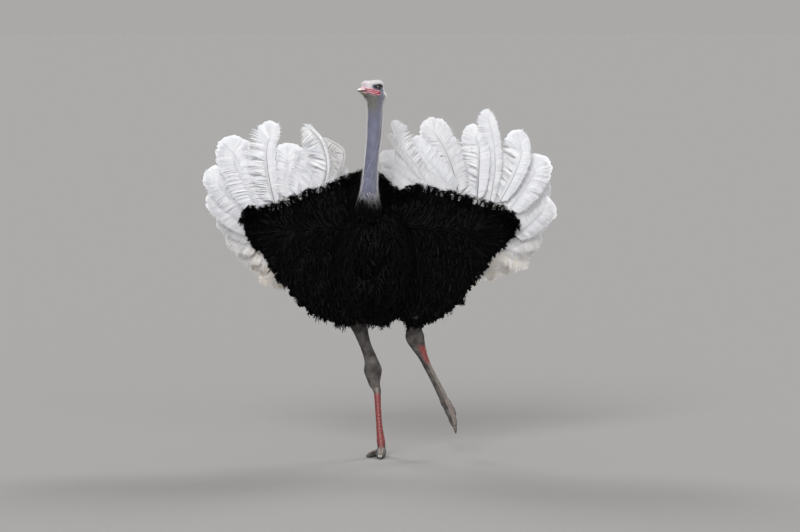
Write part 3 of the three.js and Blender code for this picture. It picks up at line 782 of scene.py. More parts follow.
def shield_rows(side):
    """Stations of one wing's black shield: its middle, half height and half depth go down to nothing
    at the tip as the eighth power of the way out."""
    top, low = np.array(SHIELD_TOP[side], float), np.array(SHIELD_LOW[side], float)
    deep = (80 - 0.055 * SHIELD_OUT) * np.sqrt(1 - (SHIELD_OUT / SHIELD_TIP) ** 8)
    return np.stack([SIDES[side] * SHIELD_OUT, WING_Y + WING_SWEEP * SHIELD_OUT,
                     (top + low) / 2, (top - low) / 2, deep], axis=-1)


trunk_skin = place(rings(TRUNK, TRUNK_RINGS, 40, across=(0, 0, 1), inset=BODY_COAT))
mantle_skin = place(rings(MANTLE, 18, 32, inset=BODY_COAT))
wing_skin = {side: place(rings(shield_rows(side), 30, 40, upright=True, inset=SHIELD_COAT))
             for side in SIDES}

# %% Tables of the legs, as x, y, z, half width and half depth
FOOT_Y = 62.0  # the standing leg is set back by this, under the weight
LEG_RIGHT = np.array([
    [-170, 110, 1220, 80, 110], [-204, 66, 1095, 110, 148], [-186, 2, 968, 86, 110],
    [-136, 8, 845, 54, 66], [-97, 36, 725, 38, 46], [-62, 62, 630, 43, 44],
    [-47, 72, 552, 55, 52], [-38, 68, 474, 40, 40], [-20, 58, 420, 26, 32],
    [-15, 44, 335, 21, 28], [-6, 26, 200, 21, 26], [6, 8, 92, 28, 32], [10, 2, 52, 26, 30],
], float)
LEG_LEFT = np.array([
    [170, 110, 1220, 80, 110], [214, -36, 1105, 106, 132], [212, -108, 1000, 80, 94],
    [214, -50, 900, 56, 60], [222, 10, 830, 50, 50], [226, 40, 777, 60, 54],
    [250, 52, 712, 46, 46], [278, 62, 650, 31, 36], [306, 72, 587, 26, 31],
    [340, 84, 520, 25, 29], [374, 97, 452, 26, 28], [404, 109, 392, 28, 31],
    [414, 113, 368, 25, 29],
], float)
TOES = {
    "right": {
        "inner": [[10, 34, 24, 20, 26], [9, 14, 34, 31, 38], [7, -45, 23, 31, 30],
                  [4, -110, 19, 29, 25], [2, -165, 15, 24, 21], [1, -186, 12, 14, 14]],
        "outer": [[-2, 24, 22, 14, 22], [-14, -2, 20, 22, 28], [-46, -50, 17, 22, 23],
                  [-72, -88, 13, 19, 18], [-82, -103, 8, 10, 11]],
        "claw": [[1, -164, 19, 15, 13], [1, -190, 15, 14, 12], [0, -212, 10, 9, 8], [0, -227, 4, 2, 2]],
    },
    "left": {
        "inner": [[405, 138, 376, 20, 22], [415, 116, 362, 30, 32], [438, 82, 318, 31, 28],
                  [462, 48, 262, 28, 24], [478, 22, 214, 23, 20], [483, 14, 196, 13, 13]],
        "outer": [[408, 128, 370, 14, 20], [428, 122, 356, 21, 26], [458, 116, 312, 21, 21],
                  [478, 106, 274, 18, 17], [484, 101, 260, 10, 10]],
        "claw": [[478, 24, 216, 14, 12], [485, 13, 190, 13, 11], [489, 8, 168, 8, 8], [490, 7, 150, 2, 2]],
    },
}
LEGS = {"right": LEG_RIGHT + [0, FOOT_Y, 0, 0, 0], "left": LEG_LEFT}
for rows in TOES["right"].values():
    for row in rows:
        row[1] += FOOT_Y
TOE_UP = {"right": (0, 0, 1), "left": (0.35, -0.7, 0.6)}  # the way that the top of the toes faces
ANKLE_AT = {"right": 6 / 12, "left": 5 / 12}              # the ankle's share of the leg's table
SHIN_FACES = {"right": math.pi / 2, "left": 0.75}         # angle of the shin's front on the section
ROSY_SHIN = {"right": (415, 60, 0.0), "left": (735, 585, 0.45)}  # its top and foot, and how narrow it is
RED_SCUTES = {"right": (425, 390), "left": (580, 630)}    # heights at which their red begins and is full
TOE_RED = 0.12                                            # the toes' scutes are nearly grey
THIGH_SHADE = 870, 940                                    # heights between which the skin turns black, as painted shade under the plumage
LEG_START, LEG_RINGS, LEG_SIDES = 0.2, 230, 72            # the thigh's top lies inside the trunk
TOE_RINGS, TOE_SIDES = 70, 40
LEG_VOXEL, LEG_RELAX = 0.0041, 4


# %% [markdown]
# The ankle is the knobbly joint halfway down. Two knuckles stand out at its sides, a cord of tendon
# runs over its back, and the skin creases across its front. The shank below is flat at the sides.

# %% One leg with its toes
def leg_grid(side):
    """The leg's rings with knuckles, heel, tendon, side grooves and creases, as changes of radius
    that depend on the angle round the leg and on the distance from the ankle."""
    t = np.linspace(LEG_START, 1, LEG_RINGS)[:, None]
    angle = np.linspace(0, 2 * math.pi, LEG_SIDES, endpoint=False)[None]
    front = SHIN_FACES[side]
    ankle = t - ANKLE_AT[side]
    to_side = np.abs(np.sin(angle - front))
    to_back = (1 - np.cos(angle - front)) / 2
    below = ease(0.02, 0.14, ankle)
    knuckles = 4.0 * to_side ** 3 * np.exp(-(ankle / 0.035) ** 2)
    heel = 5.0 * to_back ** 10 * np.exp(-((ankle + 0.06) / 0.07) ** 2)
    tendon = 3.5 * to_back ** 12 * below
    grooves = 2.4 * below * np.exp(-((np.cos(angle - front) + 0.35) / 0.22) ** 2)
    waves = np.sin(ankle * 420 + 2 * np.sin(angle))
    creases = 0.9 * waves * (1 - to_back) * np.exp(-((ankle - 0.01) / 0.05) ** 2)
    grow = knuckles + heel + tendon - grooves + creases
    return place(tube(LEGS[side], t, angle, inset=0.8 - grow))


def remeshed(shells, voxel, relax):
    """Joins overlapping closed shells into one body on a lattice of voxels, and relaxes its steps."""
    points, faces = gather(shells)
    mesh = bpy.data.meshes.new("joining")
    mesh.from_pydata(points.tolist(), [], [row for f in faces for row in f.tolist()])
    work = bpy.data.objects.new("joining", mesh)
    bpy.context.scene.collection.objects.link(work)
    remesh = work.modifiers.new("remesh", "REMESH")
    remesh.mode, remesh.voxel_size = "VOXEL", voxel
    smooth = work.modifiers.new("relax", "SMOOTH")
    smooth.factor, smooth.iterations = 0.5, relax
    made = work.evaluated_get(bpy.context.evaluated_depsgraph_get()).to_mesh()
    co = np.zeros(len(made.vertices) * 3, np.float32)
    normal = np.zeros(len(made.vertices) * 3, np.float32)
    corners = np.zeros(len(made.loops), np.int32)
    made.vertices.foreach_get("co", co)
    made.vertices.foreach_get("normal", normal)
    made.loops.foreach_get("vertex_index", corners)
    assert len(corners) == 4 * len(made.polygons)
    bpy.data.objects.remove(work)
    bpy.data.meshes.remove(mesh)
    return co.reshape(-1, 3).astype(float), normal.reshape(-1, 3).astype(float), corners.reshape(-1, 4)


def leg_with_toes(side):
    """One leg and its two toes as one body, with pads swelling under the toes and flat soles."""
    shells = [shell(leg_grid(side))]
    for toe in ("inner", "outer"):
        rows = TOES[side][toe]
        t = np.linspace(0, 1, TOE_RINGS)[:, None]
        angle = np.linspace(0, 2 * math.pi, TOE_SIDES, endpoint=False)[None]
        pads = 1.6 * np.cos(2 * math.pi * t * (len(rows) - 1)) * (0.6 - 0.4 * np.sin(angle))
        shells.append(shell(place(tube(rows, t, angle, across=TOE_UP[side], inset=0.8 + pads))))
    points, normal, quads = remeshed(shells, LEG_VOXEL, LEG_RELAX)
    wrinkle = 0.0006 * noise(points, 0.012, 21) + 0.0004 * noise(points * [1, 1, 2.5], 0.006, 22)
    points = points + normal * wrinkle[:, None]
    points[:, 2] = np.maximum(points[:, 2], 0.0)
    return points, [quads]


legs = {side: leg_with_toes(side) for side in SIDES}
print("legs:", {side: len(faces[0]) for side, (_, faces) in legs.items()}, "quads")

# %% [markdown]
# The eyelids are rings round each eyeball: a closed band whose inner edge is the almond of the open
# eye and whose outer edge sinks into the skin. They are part of the skin.


# %% Eyelids
GAZE_FORWARD = math.radians(10)  # the eyes look a little ahead of straight out
EYE_SIDES = 72                   # points round an eyelid and round an eyeball


def eye_axes(sign):
    """The eye's own axes in the head: out along the gaze, ahead, and up."""
    out = np.array([math.sin(GAZE_FORWARD), sign * math.cos(GAZE_FORWARD), 0.0])
    ahead = np.array([math.cos(GAZE_FORWARD), -sign * math.sin(GAZE_FORWARD), 0.0])
    return out, ahead, np.array([0.0, 0.0, 1.0])


def on_eye(sign, across, rise, radius):
    """Places in the head at angles across and up from the gaze, at a radius from the eye's middle."""
    out, ahead, high = eye_axes(sign)
    flat = np.hypot(across, rise)
    spin = np.where(flat < 1e-9, 0, np.sin(flat) / np.maximum(flat, 1e-9))
    way = (np.cos(flat)[..., None] * out + (spin * across)[..., None] * ahead
           + (spin * rise)[..., None] * high)
    return np.array([EYE_FORWARD, sign * EYE_OUT, EYE_UP]) + way * radius[..., None]


def eyelid(sign):
    """A closed band round the open eye: its rings go round the almond, and each ring round the
    band's thickness, as widening in radians and height over the eyeball in millimetres."""
    around = np.linspace(0, 2 * math.pi, EYE_SIDES, endpoint=False)[:, None]
    loop = np.array([[0.0, -2.4], [-0.02, -0.2], [0.0, 1.3], [0.06, 2.3], [0.16, 2.4], [0.3, 1.9],
                     [0.45, 1.6], [0.65, -1.0], [0.72, -5.0], [0.45, -5.0], [0.2, -4.0],
                     [0.05, -3.2]])[None]
    wide, high = 0.80, np.where(np.sin(around) > 0, 0.50, 0.56)
    point = 1 + 0.12 * np.abs(np.cos(around)) ** 6
    spread_out = 1 + loop[..., 0] / 0.62
    across = wide * point * np.cos(around) * spread_out
    rise = high * np.sin(around) * spread_out * np.abs(np.sin(around)) ** 0.12
    return on_eye(sign, across, rise, EYE_RADIUS + loop[..., 1])


lids = []
for sign in SIDES.values():
    grid = place(in_head(*np.moveaxis(eyelid(sign), -1, 0)))
    band = grid.shape[1]
    total = EYE_SIDES * band
    a = np.arange(EYE_SIDES)[:, None] * band + np.arange(band)
    b = np.arange(EYE_SIDES)[:, None] * band + (np.arange(band) + 1) % band
    quads = np.stack([a, b, (b + band) % total, (a + band) % total], axis=-1).reshape(-1, 4)
    lids.append(right_side_out(grid.reshape(-1, 3), [quads]))

# %% The one skin
hidden = [shell(trunk_skin), shell(mantle_skin), *(shell(grid) for grid in wing_skin.values())]
head_shell = shell(head_surface)


def with_ends(grid):
    """A grid of numbers in the order of a shell's points, with the two end points added."""
    return np.concatenate([grid.ravel(), [grid[0].mean(), grid[-1].mean()]])


def leg_masks(side):
    """How rosy and how dark each point of a leg is: rose on the front of the shin, and near black as
    painted shade where the thigh goes up under the plumage."""
    points = (legs[side][0] - SHIFT) / MM
    rows = LEGS[side]
    x, y = (np.interp(-points[:, 2], -rows[:, 2], rows[:, k]) for k in (0, 1))
    facing = np.cos(np.arctan2(-(points[:, 1] - y), points[:, 0] - x) - SHIN_FACES[side])
    top, foot, narrow = ROSY_SHIN[side]
    shin = ease(top, top - 30, points[:, 2]) * ease(foot, foot + 40, points[:, 2])
    return shin * ease(narrow, narrow + 0.5, facing), ease(*THIGH_SHADE, points[:, 2])


lots = {"dark": [], "rosy": [], "leg": [], "pale": [], "olive": [], "fold": []}


def skin_lot(count, **masks):
    """Adds one shell's numbers to the skin's, with 0 where none is given."""
    for key, store in lots.items():
        store.append(np.broadcast_to(masks.get(key, 0.0), (count,)))


skin_lot(len(head_shell[0]), dark=with_ends(head_dark), rosy=with_ends(head_rosy),
         pale=with_ends(head_pale), olive=with_ends(head_olive), fold=with_ends(head_fold))
# The lids take the near black of the ring round the eye: its dark skin and painted shade under the brow
for points, _ in lids:
    skin_lot(len(points), dark=0.85)
# Skin under the plumage is painted near black, as painted shade in the gaps between feathers
for points, _ in hidden:
    skin_lot(len(points), dark=1.0)
for side in SIDES:
    rosy, dark = leg_masks(side)
    skin_lot(len(rosy), rosy=rosy, dark=dark, leg=1.0)
points, faces = gather([head_shell, *lids, *hidden, *(legs[side] for side in SIDES)])
FLESH = ["head", "neck_upper", "neck_middle", "neck_lower", "trunk"] + [
    f"leg_{side}_{part}" for side in SIDES for part in ("thigh", "shank", "ankle", "tarsus")] + [
    f"toe_{side}_{toe}" for side in SIDES for toe in ("inner", "outer")]
piece("skin", points, faces, skin_finish, "skin", FLESH,
      **{key: np.concatenate(store) for key, store in lots.items()})

# %% [markdown]
# ## Eyes, lashes and bill
# An ostrich has the largest eye of any land animal, brown, with a wet cornea that stands a little
# proud. The ball's mesh carries the angle from the gaze, and the material paints pupil and iris by it.

# %% Eyeballs
for side, sign in SIDES.items():
    across = np.linspace(0.0, math.pi, 61)[1:-1, None]
    around = np.linspace(0, 2 * math.pi, EYE_SIDES, endpoint=False)[None]
    cornea = 1.6 * np.clip(1 - (across / 0.62) ** 2, 0, 1) ** 1.5
    grid = on_eye(sign, across * np.cos(around), across * np.sin(around),
                  EYE_RADIUS + cornea + 0 * around)
    points, faces = shell(place(in_head(*np.moveaxis(grid, -1, 0))))
    gaze = np.degrees(np.broadcast_to(across, (len(across), EYE_SIDES)))
    gaze = np.concatenate([gaze.ravel(), [0.0, 180.0]])
    piece(f"eyeball_{side}", points, faces, eye_finish, "eye", [f"eye_{side}"], gaze=gaze)

# %% Lashes on the upper lids
LASH_COUNT, LASH_STATIONS = 70, 6
rng = np.random.default_rng(31)
lash_lots = []
for side, sign in SIDES.items():
    around = np.linspace(0.12, math.pi - 0.12, LASH_COUNT)
    roots = on_eye(sign, 0.84 * np.cos(around), 0.56 * np.sin(around), np.full(LASH_COUNT, 25.4))
    out, ahead, high = eye_axes(sign)
    lie = unit(out + ahead * (0.9 * np.cos(around))[:, None] + high * 0.55)
    lash_length = rng.uniform(11, 19, LASH_COUNT)
    path = arcs(roots, lie, square_to(high - 0.3 * ahead, lie), lash_length, -0.35, 0.9,
                rng.uniform(-0.3, 0.3, LASH_COUNT), LASH_STATIONS)
    path = place(in_head(*np.moveaxis(path, -1, 0)))
    half = taper(LASH_STATIONS, np.full(LASH_COUNT, 0.00055), fullest=0.2)
    lash_lots.append(blades(path, np.cross(lie @ np.stack([FORWARD, LEFTWARD, UPWARD]), UPWARD)[:, None],
                            half, half, np.full((LASH_COUNT, 2), 0.5), tone=0.5))
coat("lashes", lash_lots, lash_finish, "black_plumage")

# %% [markdown]
# The bill is flat and broad, with a nail at its tip. Both halves are half ovals carried forward and
# closed by a flat face along the mouth. The nostrils are slits in a groove.

# %% The two halves of the bill
BILL = [
    [57, -12, 38, 38], [74, -18, 33, 31], [90, -21, 28, 25], [106, -20, 23, 17],
    [119, -18.5, 17, 10], [125, -18.5, 11, 6.5], [127.5, -18.5, 4, 2.5],
]  # forward, up, half width, half height
BILL_START, BILL_END = 58.0, 127.4
MOUTH_UP, MOUTH_GAP = -19.5, 4.0
NOSTRIL_FORWARD = 84.0
HORN_POINTS, MOUTH_POINTS = 60, 20  # of a ring: over the horn, and back along the mouth


def bill_half(upper):
    """Rings of half the bill: three quarters of each ring's points run over the horn from one edge
    to the other, and the rest run back along the mouth."""
    fore = np.linspace(BILL_START, BILL_END, 90)
    mid, wide, high = (x[:, None] for x in read_off(BILL, fore))
    sign = 1.0 if upper else -1.0
    high = high * (1 if upper else 1 - 0.25 * ease(84, 108, fore[:, None]))
    edge = MOUTH_UP + sign * MOUTH_GAP / 2
    start = np.arcsin(np.clip((edge - mid) * sign / high, -0.95, 0.95))
    share = np.linspace(0, 1, HORN_POINTS)[None]
    turn = start + (math.pi - 2 * start) * share
    left, up = wide * np.cos(turn), mid + sign * high * np.sin(turn)
    back = np.linspace(1, 0, MOUTH_POINTS + 2)[1:-1][None]
    left = np.concatenate([left, wide * np.cos(start) * (1 - 2 * back)], axis=1)
    up = np.concatenate([up, edge + 0 * wide + 0 * back], axis=1)
    return np.broadcast_to(fore[:, None], left.shape), left, up


def bill_relief(fore, left, up, upper):
    """Height over the plain half oval: a ridge along the top, a groove with the nostril, and the
    nail at the tip behind a shallow step."""
    nail = 1.3 * ease(106, 109, fore) * ease(127, 118, fore)
    if not upper:
        return 0.7 * nail - 1.4 * np.exp(-(left / 5) ** 2) * ease(100, 80, fore) * (up < -30), 0 * fore
    fall = 0.12 * (fore - 80)
    groove = np.exp(-((up + 11 + fall) / 4.0) ** 2) * ease(64, 74, fore) * ease(108, 98, fore)
    slit = np.hypot((fore - NOSTRIL_FORWARD) / 9, (up + 10.5 + fall) / 2.6)
    nostril = 1 - ease(0.6, 1.0, slit)
    ridge = 1.6 * np.exp(-(left / 8) ** 2) * ease(58, 75, fore) * ease(118, 104, fore)
    side = ease(4, 10, np.abs(left)) * (up > MOUTH_UP + 1)
    return nail + ridge - (1.6 * groove + 4.5 * nostril) * side, nostril * side


for name, upper in (("bill_upper", True), ("bill_lower", False)):
    fore, left_of, up_of = bill_half(upper)
    lift, nostril = bill_relief(fore, left_of, up_of, upper)
    lift = lift + 0.25 * noise(np.stack([fore / 3, left_of, up_of], axis=-1), 4.0, 41)
    grid = np.stack([fore, left_of, up_of], axis=-1)
    on_horn = np.arange(grid.shape[1]) < HORN_POINTS
    grid = grid + outward(grid) * (lift * on_horn)[..., None]
    points, faces = shell(place(in_head(*np.moveaxis(grid, -1, 0))))
    beside_ridge = ease(4, 10, np.abs(left_of))
    fleshy = ease(88, 76, fore) * ease(-2, -8, up_of) * beside_ridge
    # The dark mouth line is painted shade in the gap between the halves; the nostril and the groove round
    # it hold painted shade too
    line = ease(6.4, 4.2, np.abs(up_of - MOUTH_UP + 1)) * (1 - 0.5 * fleshy)
    around_slit = np.hypot((fore - NOSTRIL_FORWARD) / 10, (up_of + 9) / 6.5)
    shade = ease(1.2, 0.5, around_slit) * upper * beside_ridge
    piece(f"{name}_horn", points, faces, bill_finish, "bill", [name],
          reach=with_ends((fore - BILL_START) / 70), rosy=with_ends(fleshy),
          dark=with_ends(np.maximum.reduce([nostril, line, 0.85 * shade])),
          olive=with_ends(ease(-28, -35, up_of) * (not upper)))

# %% [markdown]
# ## Scales and claws
# Broad horn plates overlap down the front of each shin and along the top of each toe, like tiles.
# Each is a small pillow whose rim is sunk in the skin, so that only its dome and lower edge show.


# %% Scutes
def scutes(rows, across, start, end, count, front, arc, lift, seed):
    """Plates along a tube: each covers a stretch of it and an arc to each side of its front. The
    height grows down the plate, is round across, and goes below the skin at the rim."""
    rng = np.random.default_rng(seed)
    a = np.linspace(0, 1, 8)[:, None]    # down the plate
    b = np.linspace(-1, 1, 11)[None]     # across it
    lots = []
    uneven = np.append(rng.uniform(-0.1, 0.1, count), 0) * (end - start) / count
    edges = np.linspace(start, end, count + 1) + uneven
    for k in range(count):
        t = edges[k] + (edges[k + 1] - edges[k]) * (a * 1.12 - 0.06 + 0.1 * b ** 2)
        angle = front + arc * b * (0.9 + 0.1 * np.cos(k * 1.7))
        inner = (1 - b ** 4) * (1 - np.abs(2 * a - 1) ** 6)
        height = lift * (0.35 + 0.65 * a) * inner ** 0.5 - 1.2 * (inner < 1e-6)
        top = tube(rows, t, angle + 0 * a, across=across, inset=-height)
        base = tube(rows, t, angle + 0 * a, across=across, inset=1.4 + 0 * height)
        lots.append(pillow(place(top), place(base)))
    return gather(lots)


def pillow(top, base):
    """A closed solid between two patches: both patches, and a strip of quads round their rims."""
    rows, columns = top.shape[:2]
    index = np.arange(rows * columns).reshape(rows, columns)
    cells = np.stack([index[:-1, :-1], index[1:, :-1], index[1:, 1:], index[:-1, 1:]], axis=-1)
    rim = np.concatenate([index[0, :-1], index[:-1, -1], index[-1, :0:-1], index[:0:-1, 0]])
    after, shift = np.roll(rim, -1), rows * columns
    walls = np.stack([rim, after, after + shift, rim + shift], axis=-1)
    faces = [cells.reshape(-1, 4), cells[..., ::-1].reshape(-1, 4) + shift, walls]
    return right_side_out(np.concatenate([top.reshape(-1, 3), base.reshape(-1, 3)]), faces)


SHINS = {"right": (0.645, 0.985, 24), "left": (0.53, 0.985, 20)}  # start and end on the leg, and plates
FLOOR_GAP = 0.0005  # the claws stay this far off the floor
for side in SIDES:
    start, end, count = SHINS[side]
    leg_plates = scutes(LEGS[side], (0, -1, 0), start, end, count, SHIN_FACES[side], arc=0.72, lift=2.4,
                        seed=51)
    toe_plates = [
        scutes(TOES[side]["inner"], TOE_UP[side], 0.16, 0.93, 17, math.pi / 2, arc=0.62, lift=1.9, seed=52),
        scutes(TOES[side]["outer"], TOE_UP[side], 0.2, 0.9, 11, math.pi / 2, arc=0.6, lift=1.5, seed=53)]
    points, faces = gather([leg_plates, *toe_plates])
    height = (leg_plates[0] - SHIFT)[:, 2] / MM
    red = ease(*RED_SCUTES[side], height)
    rosy = np.concatenate([red, np.full(len(points) - len(red), TOE_RED)])
    piece(f"scutes_{side}", points, faces, scute_finish, "shin", rosy=rosy)
    claw = rings(TOES[side]["claw"], 40, 32, across=TOE_UP[side], inset=0.3)
    claw_points, claw_faces = shell(place(claw))
    claw_points[:, 2] = np.maximum(claw_points[:, 2], FLOOR_GAP)
    piece(f"claw_{side}_horn", claw_points, claw_faces, claw_finish, "claw", [f"claw_{side}"])

# %% [markdown]
# ## Down on the head and neck
# The neck is nearly bare: short grey down stands off it and catches the light along its edges. It is
# palest on the crown, where it stands up as bristles, and longest where the neck meets the plumage.


# %% Down
def down_lot(spacing, seed, weight, length, half, lift, stations=4, pale=0.0):
    """Down over part of the head and neck, lying down and back, raised by lift radians."""
    rng = np.random.default_rng(seed)
    roots, normal, uv = scatter(head_surface, spacing, seed, weight[:-1])
    count = len(roots)
    spot = np.rint((uv - MARGIN) / SPAN * (np.array(head_dark.shape) - 1)).astype(int)
    fall = np.array([0, 0, -1.0]) - 0.9 * FORWARD + rng.normal(0, 0.25, (count, 3))
    lie = square_to(fall, normal)
    long = length * rng.uniform(0.6, 1.2, count)
    path = arcs(roots, lie, normal, long, lift * rng.uniform(0.6, 1.3, count), 0.5 * lift, 0.2, stations)
    width = taper(stations, half * rng.uniform(0.7, 1.2, count), fullest=0.25)
    here = spot[:, 0], spot[:, 1]
    return blades(path, np.cross(lie, normal)[:, None], width, 0.6 * width, uv,
                  tone=rng.uniform(0, 1, count), pale=np.clip(head_pale[here] + pale, 0, 1),
                  dark=head_dark[here])


bare = np.maximum(head_rosy > 0.3, (eye_ring < 0.9) & (on_side > 0.3))
furry = np.where(bare, 0.0, 1.0)
crown_weight = furry * np.maximum(ease(8, 22, up), ease(50, 66, forward) * ease(-8, 4, up))
neck_weight = furry * ease(78, 62, forward) * (0.35 + 0.65 * ease(-20, -60, up)) * ease(-800, -770, up)
fade_weight = ease(-640, -680, up) * ease(-790, -740, up)
short_down = down_lot(0.0048, 61, neck_weight, length=0.014, half=0.00036, lift=1.0, pale=0.4)
long_down = down_lot(0.009, 63, fade_weight, length=0.035, half=0.0014, lift=0.4, stations=5)
bristles = down_lot(0.003, 62, crown_weight, length=0.012, half=0.0008, lift=0.5, stations=5, pale=0.7)
coat("neck_down", [short_down, long_down], down_finish, "skin")
coat("crown_bristles", [bristles], down_finish, "skin")

# %% [markdown]
# ## Plumes
# An ostrich plume is a thin shaft with two rows of long soft barbs that no hooks hold together. Where
# a side is closed, its barbs curl back over the edge, which makes the edge smooth and round. Where it
# is open, they part into clumps with gaps. At the tip they fan round the end. One maker, given
# different numbers, serves for the white plumes, for the tail and for the small curly black feathers.

# %% Barbs along shafts
BARB_REACH = [[0.55], [0.82], [0.95], [1.0], [1.02], [1.0], [0.94]]  # barb length along a plume
BARE_QUILL = 0.04   # share of a shaft below its first barbs
CLUMP = 0.29        # length of a clump of barbs, for barbs of length 1
ROOF_SLOPE = 0.3    # fall of a closed vane from its shaft to its edges, for barbs of length 1


def read_rows(table, which, t):
    """A table (plume, station, ...) read off at t between stations, for the plumes in which."""
    spot = np.clip(t, 0, 1) * (table.shape[1] - 1)
    first = np.minimum(spot.astype(int), table.shape[1] - 2)
    f = (spot - first).reshape(-1, *[1] * (table.ndim - 2))
    return table[which, first] * (1 - f) + table[which, first + 1] * f


def webs(spine, side, reach, uv, notch=0.0, sweep=0.5, beyond=0.0, parted=0.0, **values):
    """The closed middles of plumes: roofs with the shaft as their ridge, whose edges reach out and
    fall back. Every second section is drawn in by notch, which cuts teeth that point forward. The
    roof runs on past the shaft's end by beyond times its reach, and it is narrower where a side's
    barbs are parted, though not at the tip."""
    t = np.linspace(0, 1, spine.shape[1])
    step = np.linalg.norm(spine[:, -1] - spine[:, -2], axis=-1) * (len(t) - 1)
    run_on = t * (1 + beyond * reach.mean(axis=1, keepdims=True) / step[:, None])
    which = np.broadcast_to(np.arange(len(spine))[:, None], run_on.shape)
    ahead = unit(spine[:, -1:] - spine[:, -2:-1])
    past = np.maximum(run_on - 1, 0) * step[:, None]
    spine = read_rows(spine, which.ravel(), run_on.ravel()).reshape(spine.shape) + ahead * past[..., None]
    along = unit(np.gradient(spine, axis=1))
    side = square_to(side, along)
    outline = through(BARB_REACH, t)[:, 0] * np.sqrt(np.clip((1 - t) / 0.2, 0, 1))
    outline = outline * (1 - notch * (np.arange(len(t)) % 2))
    ragged = 1 + 0.05 * np.random.default_rng(len(spine)).normal(0, 1, (*spine.shape[:2], 2))
    parted = np.broadcast_to(parted, reach.shape)[:, None, ::-1] * (1 - 0.8 * ease(0.55, 0.82, t))[:, None]
    half = reach[:, None, ::-1] * (1 - parted) * outline[:, None] * ragged
    thick = ROOF_SLOPE * half.mean(axis=-1)
    path = spine - np.cross(side, along) * (thick + 0.0015)[..., None]
    return blades(path, -side, half, thick, uv, sweep, **values)


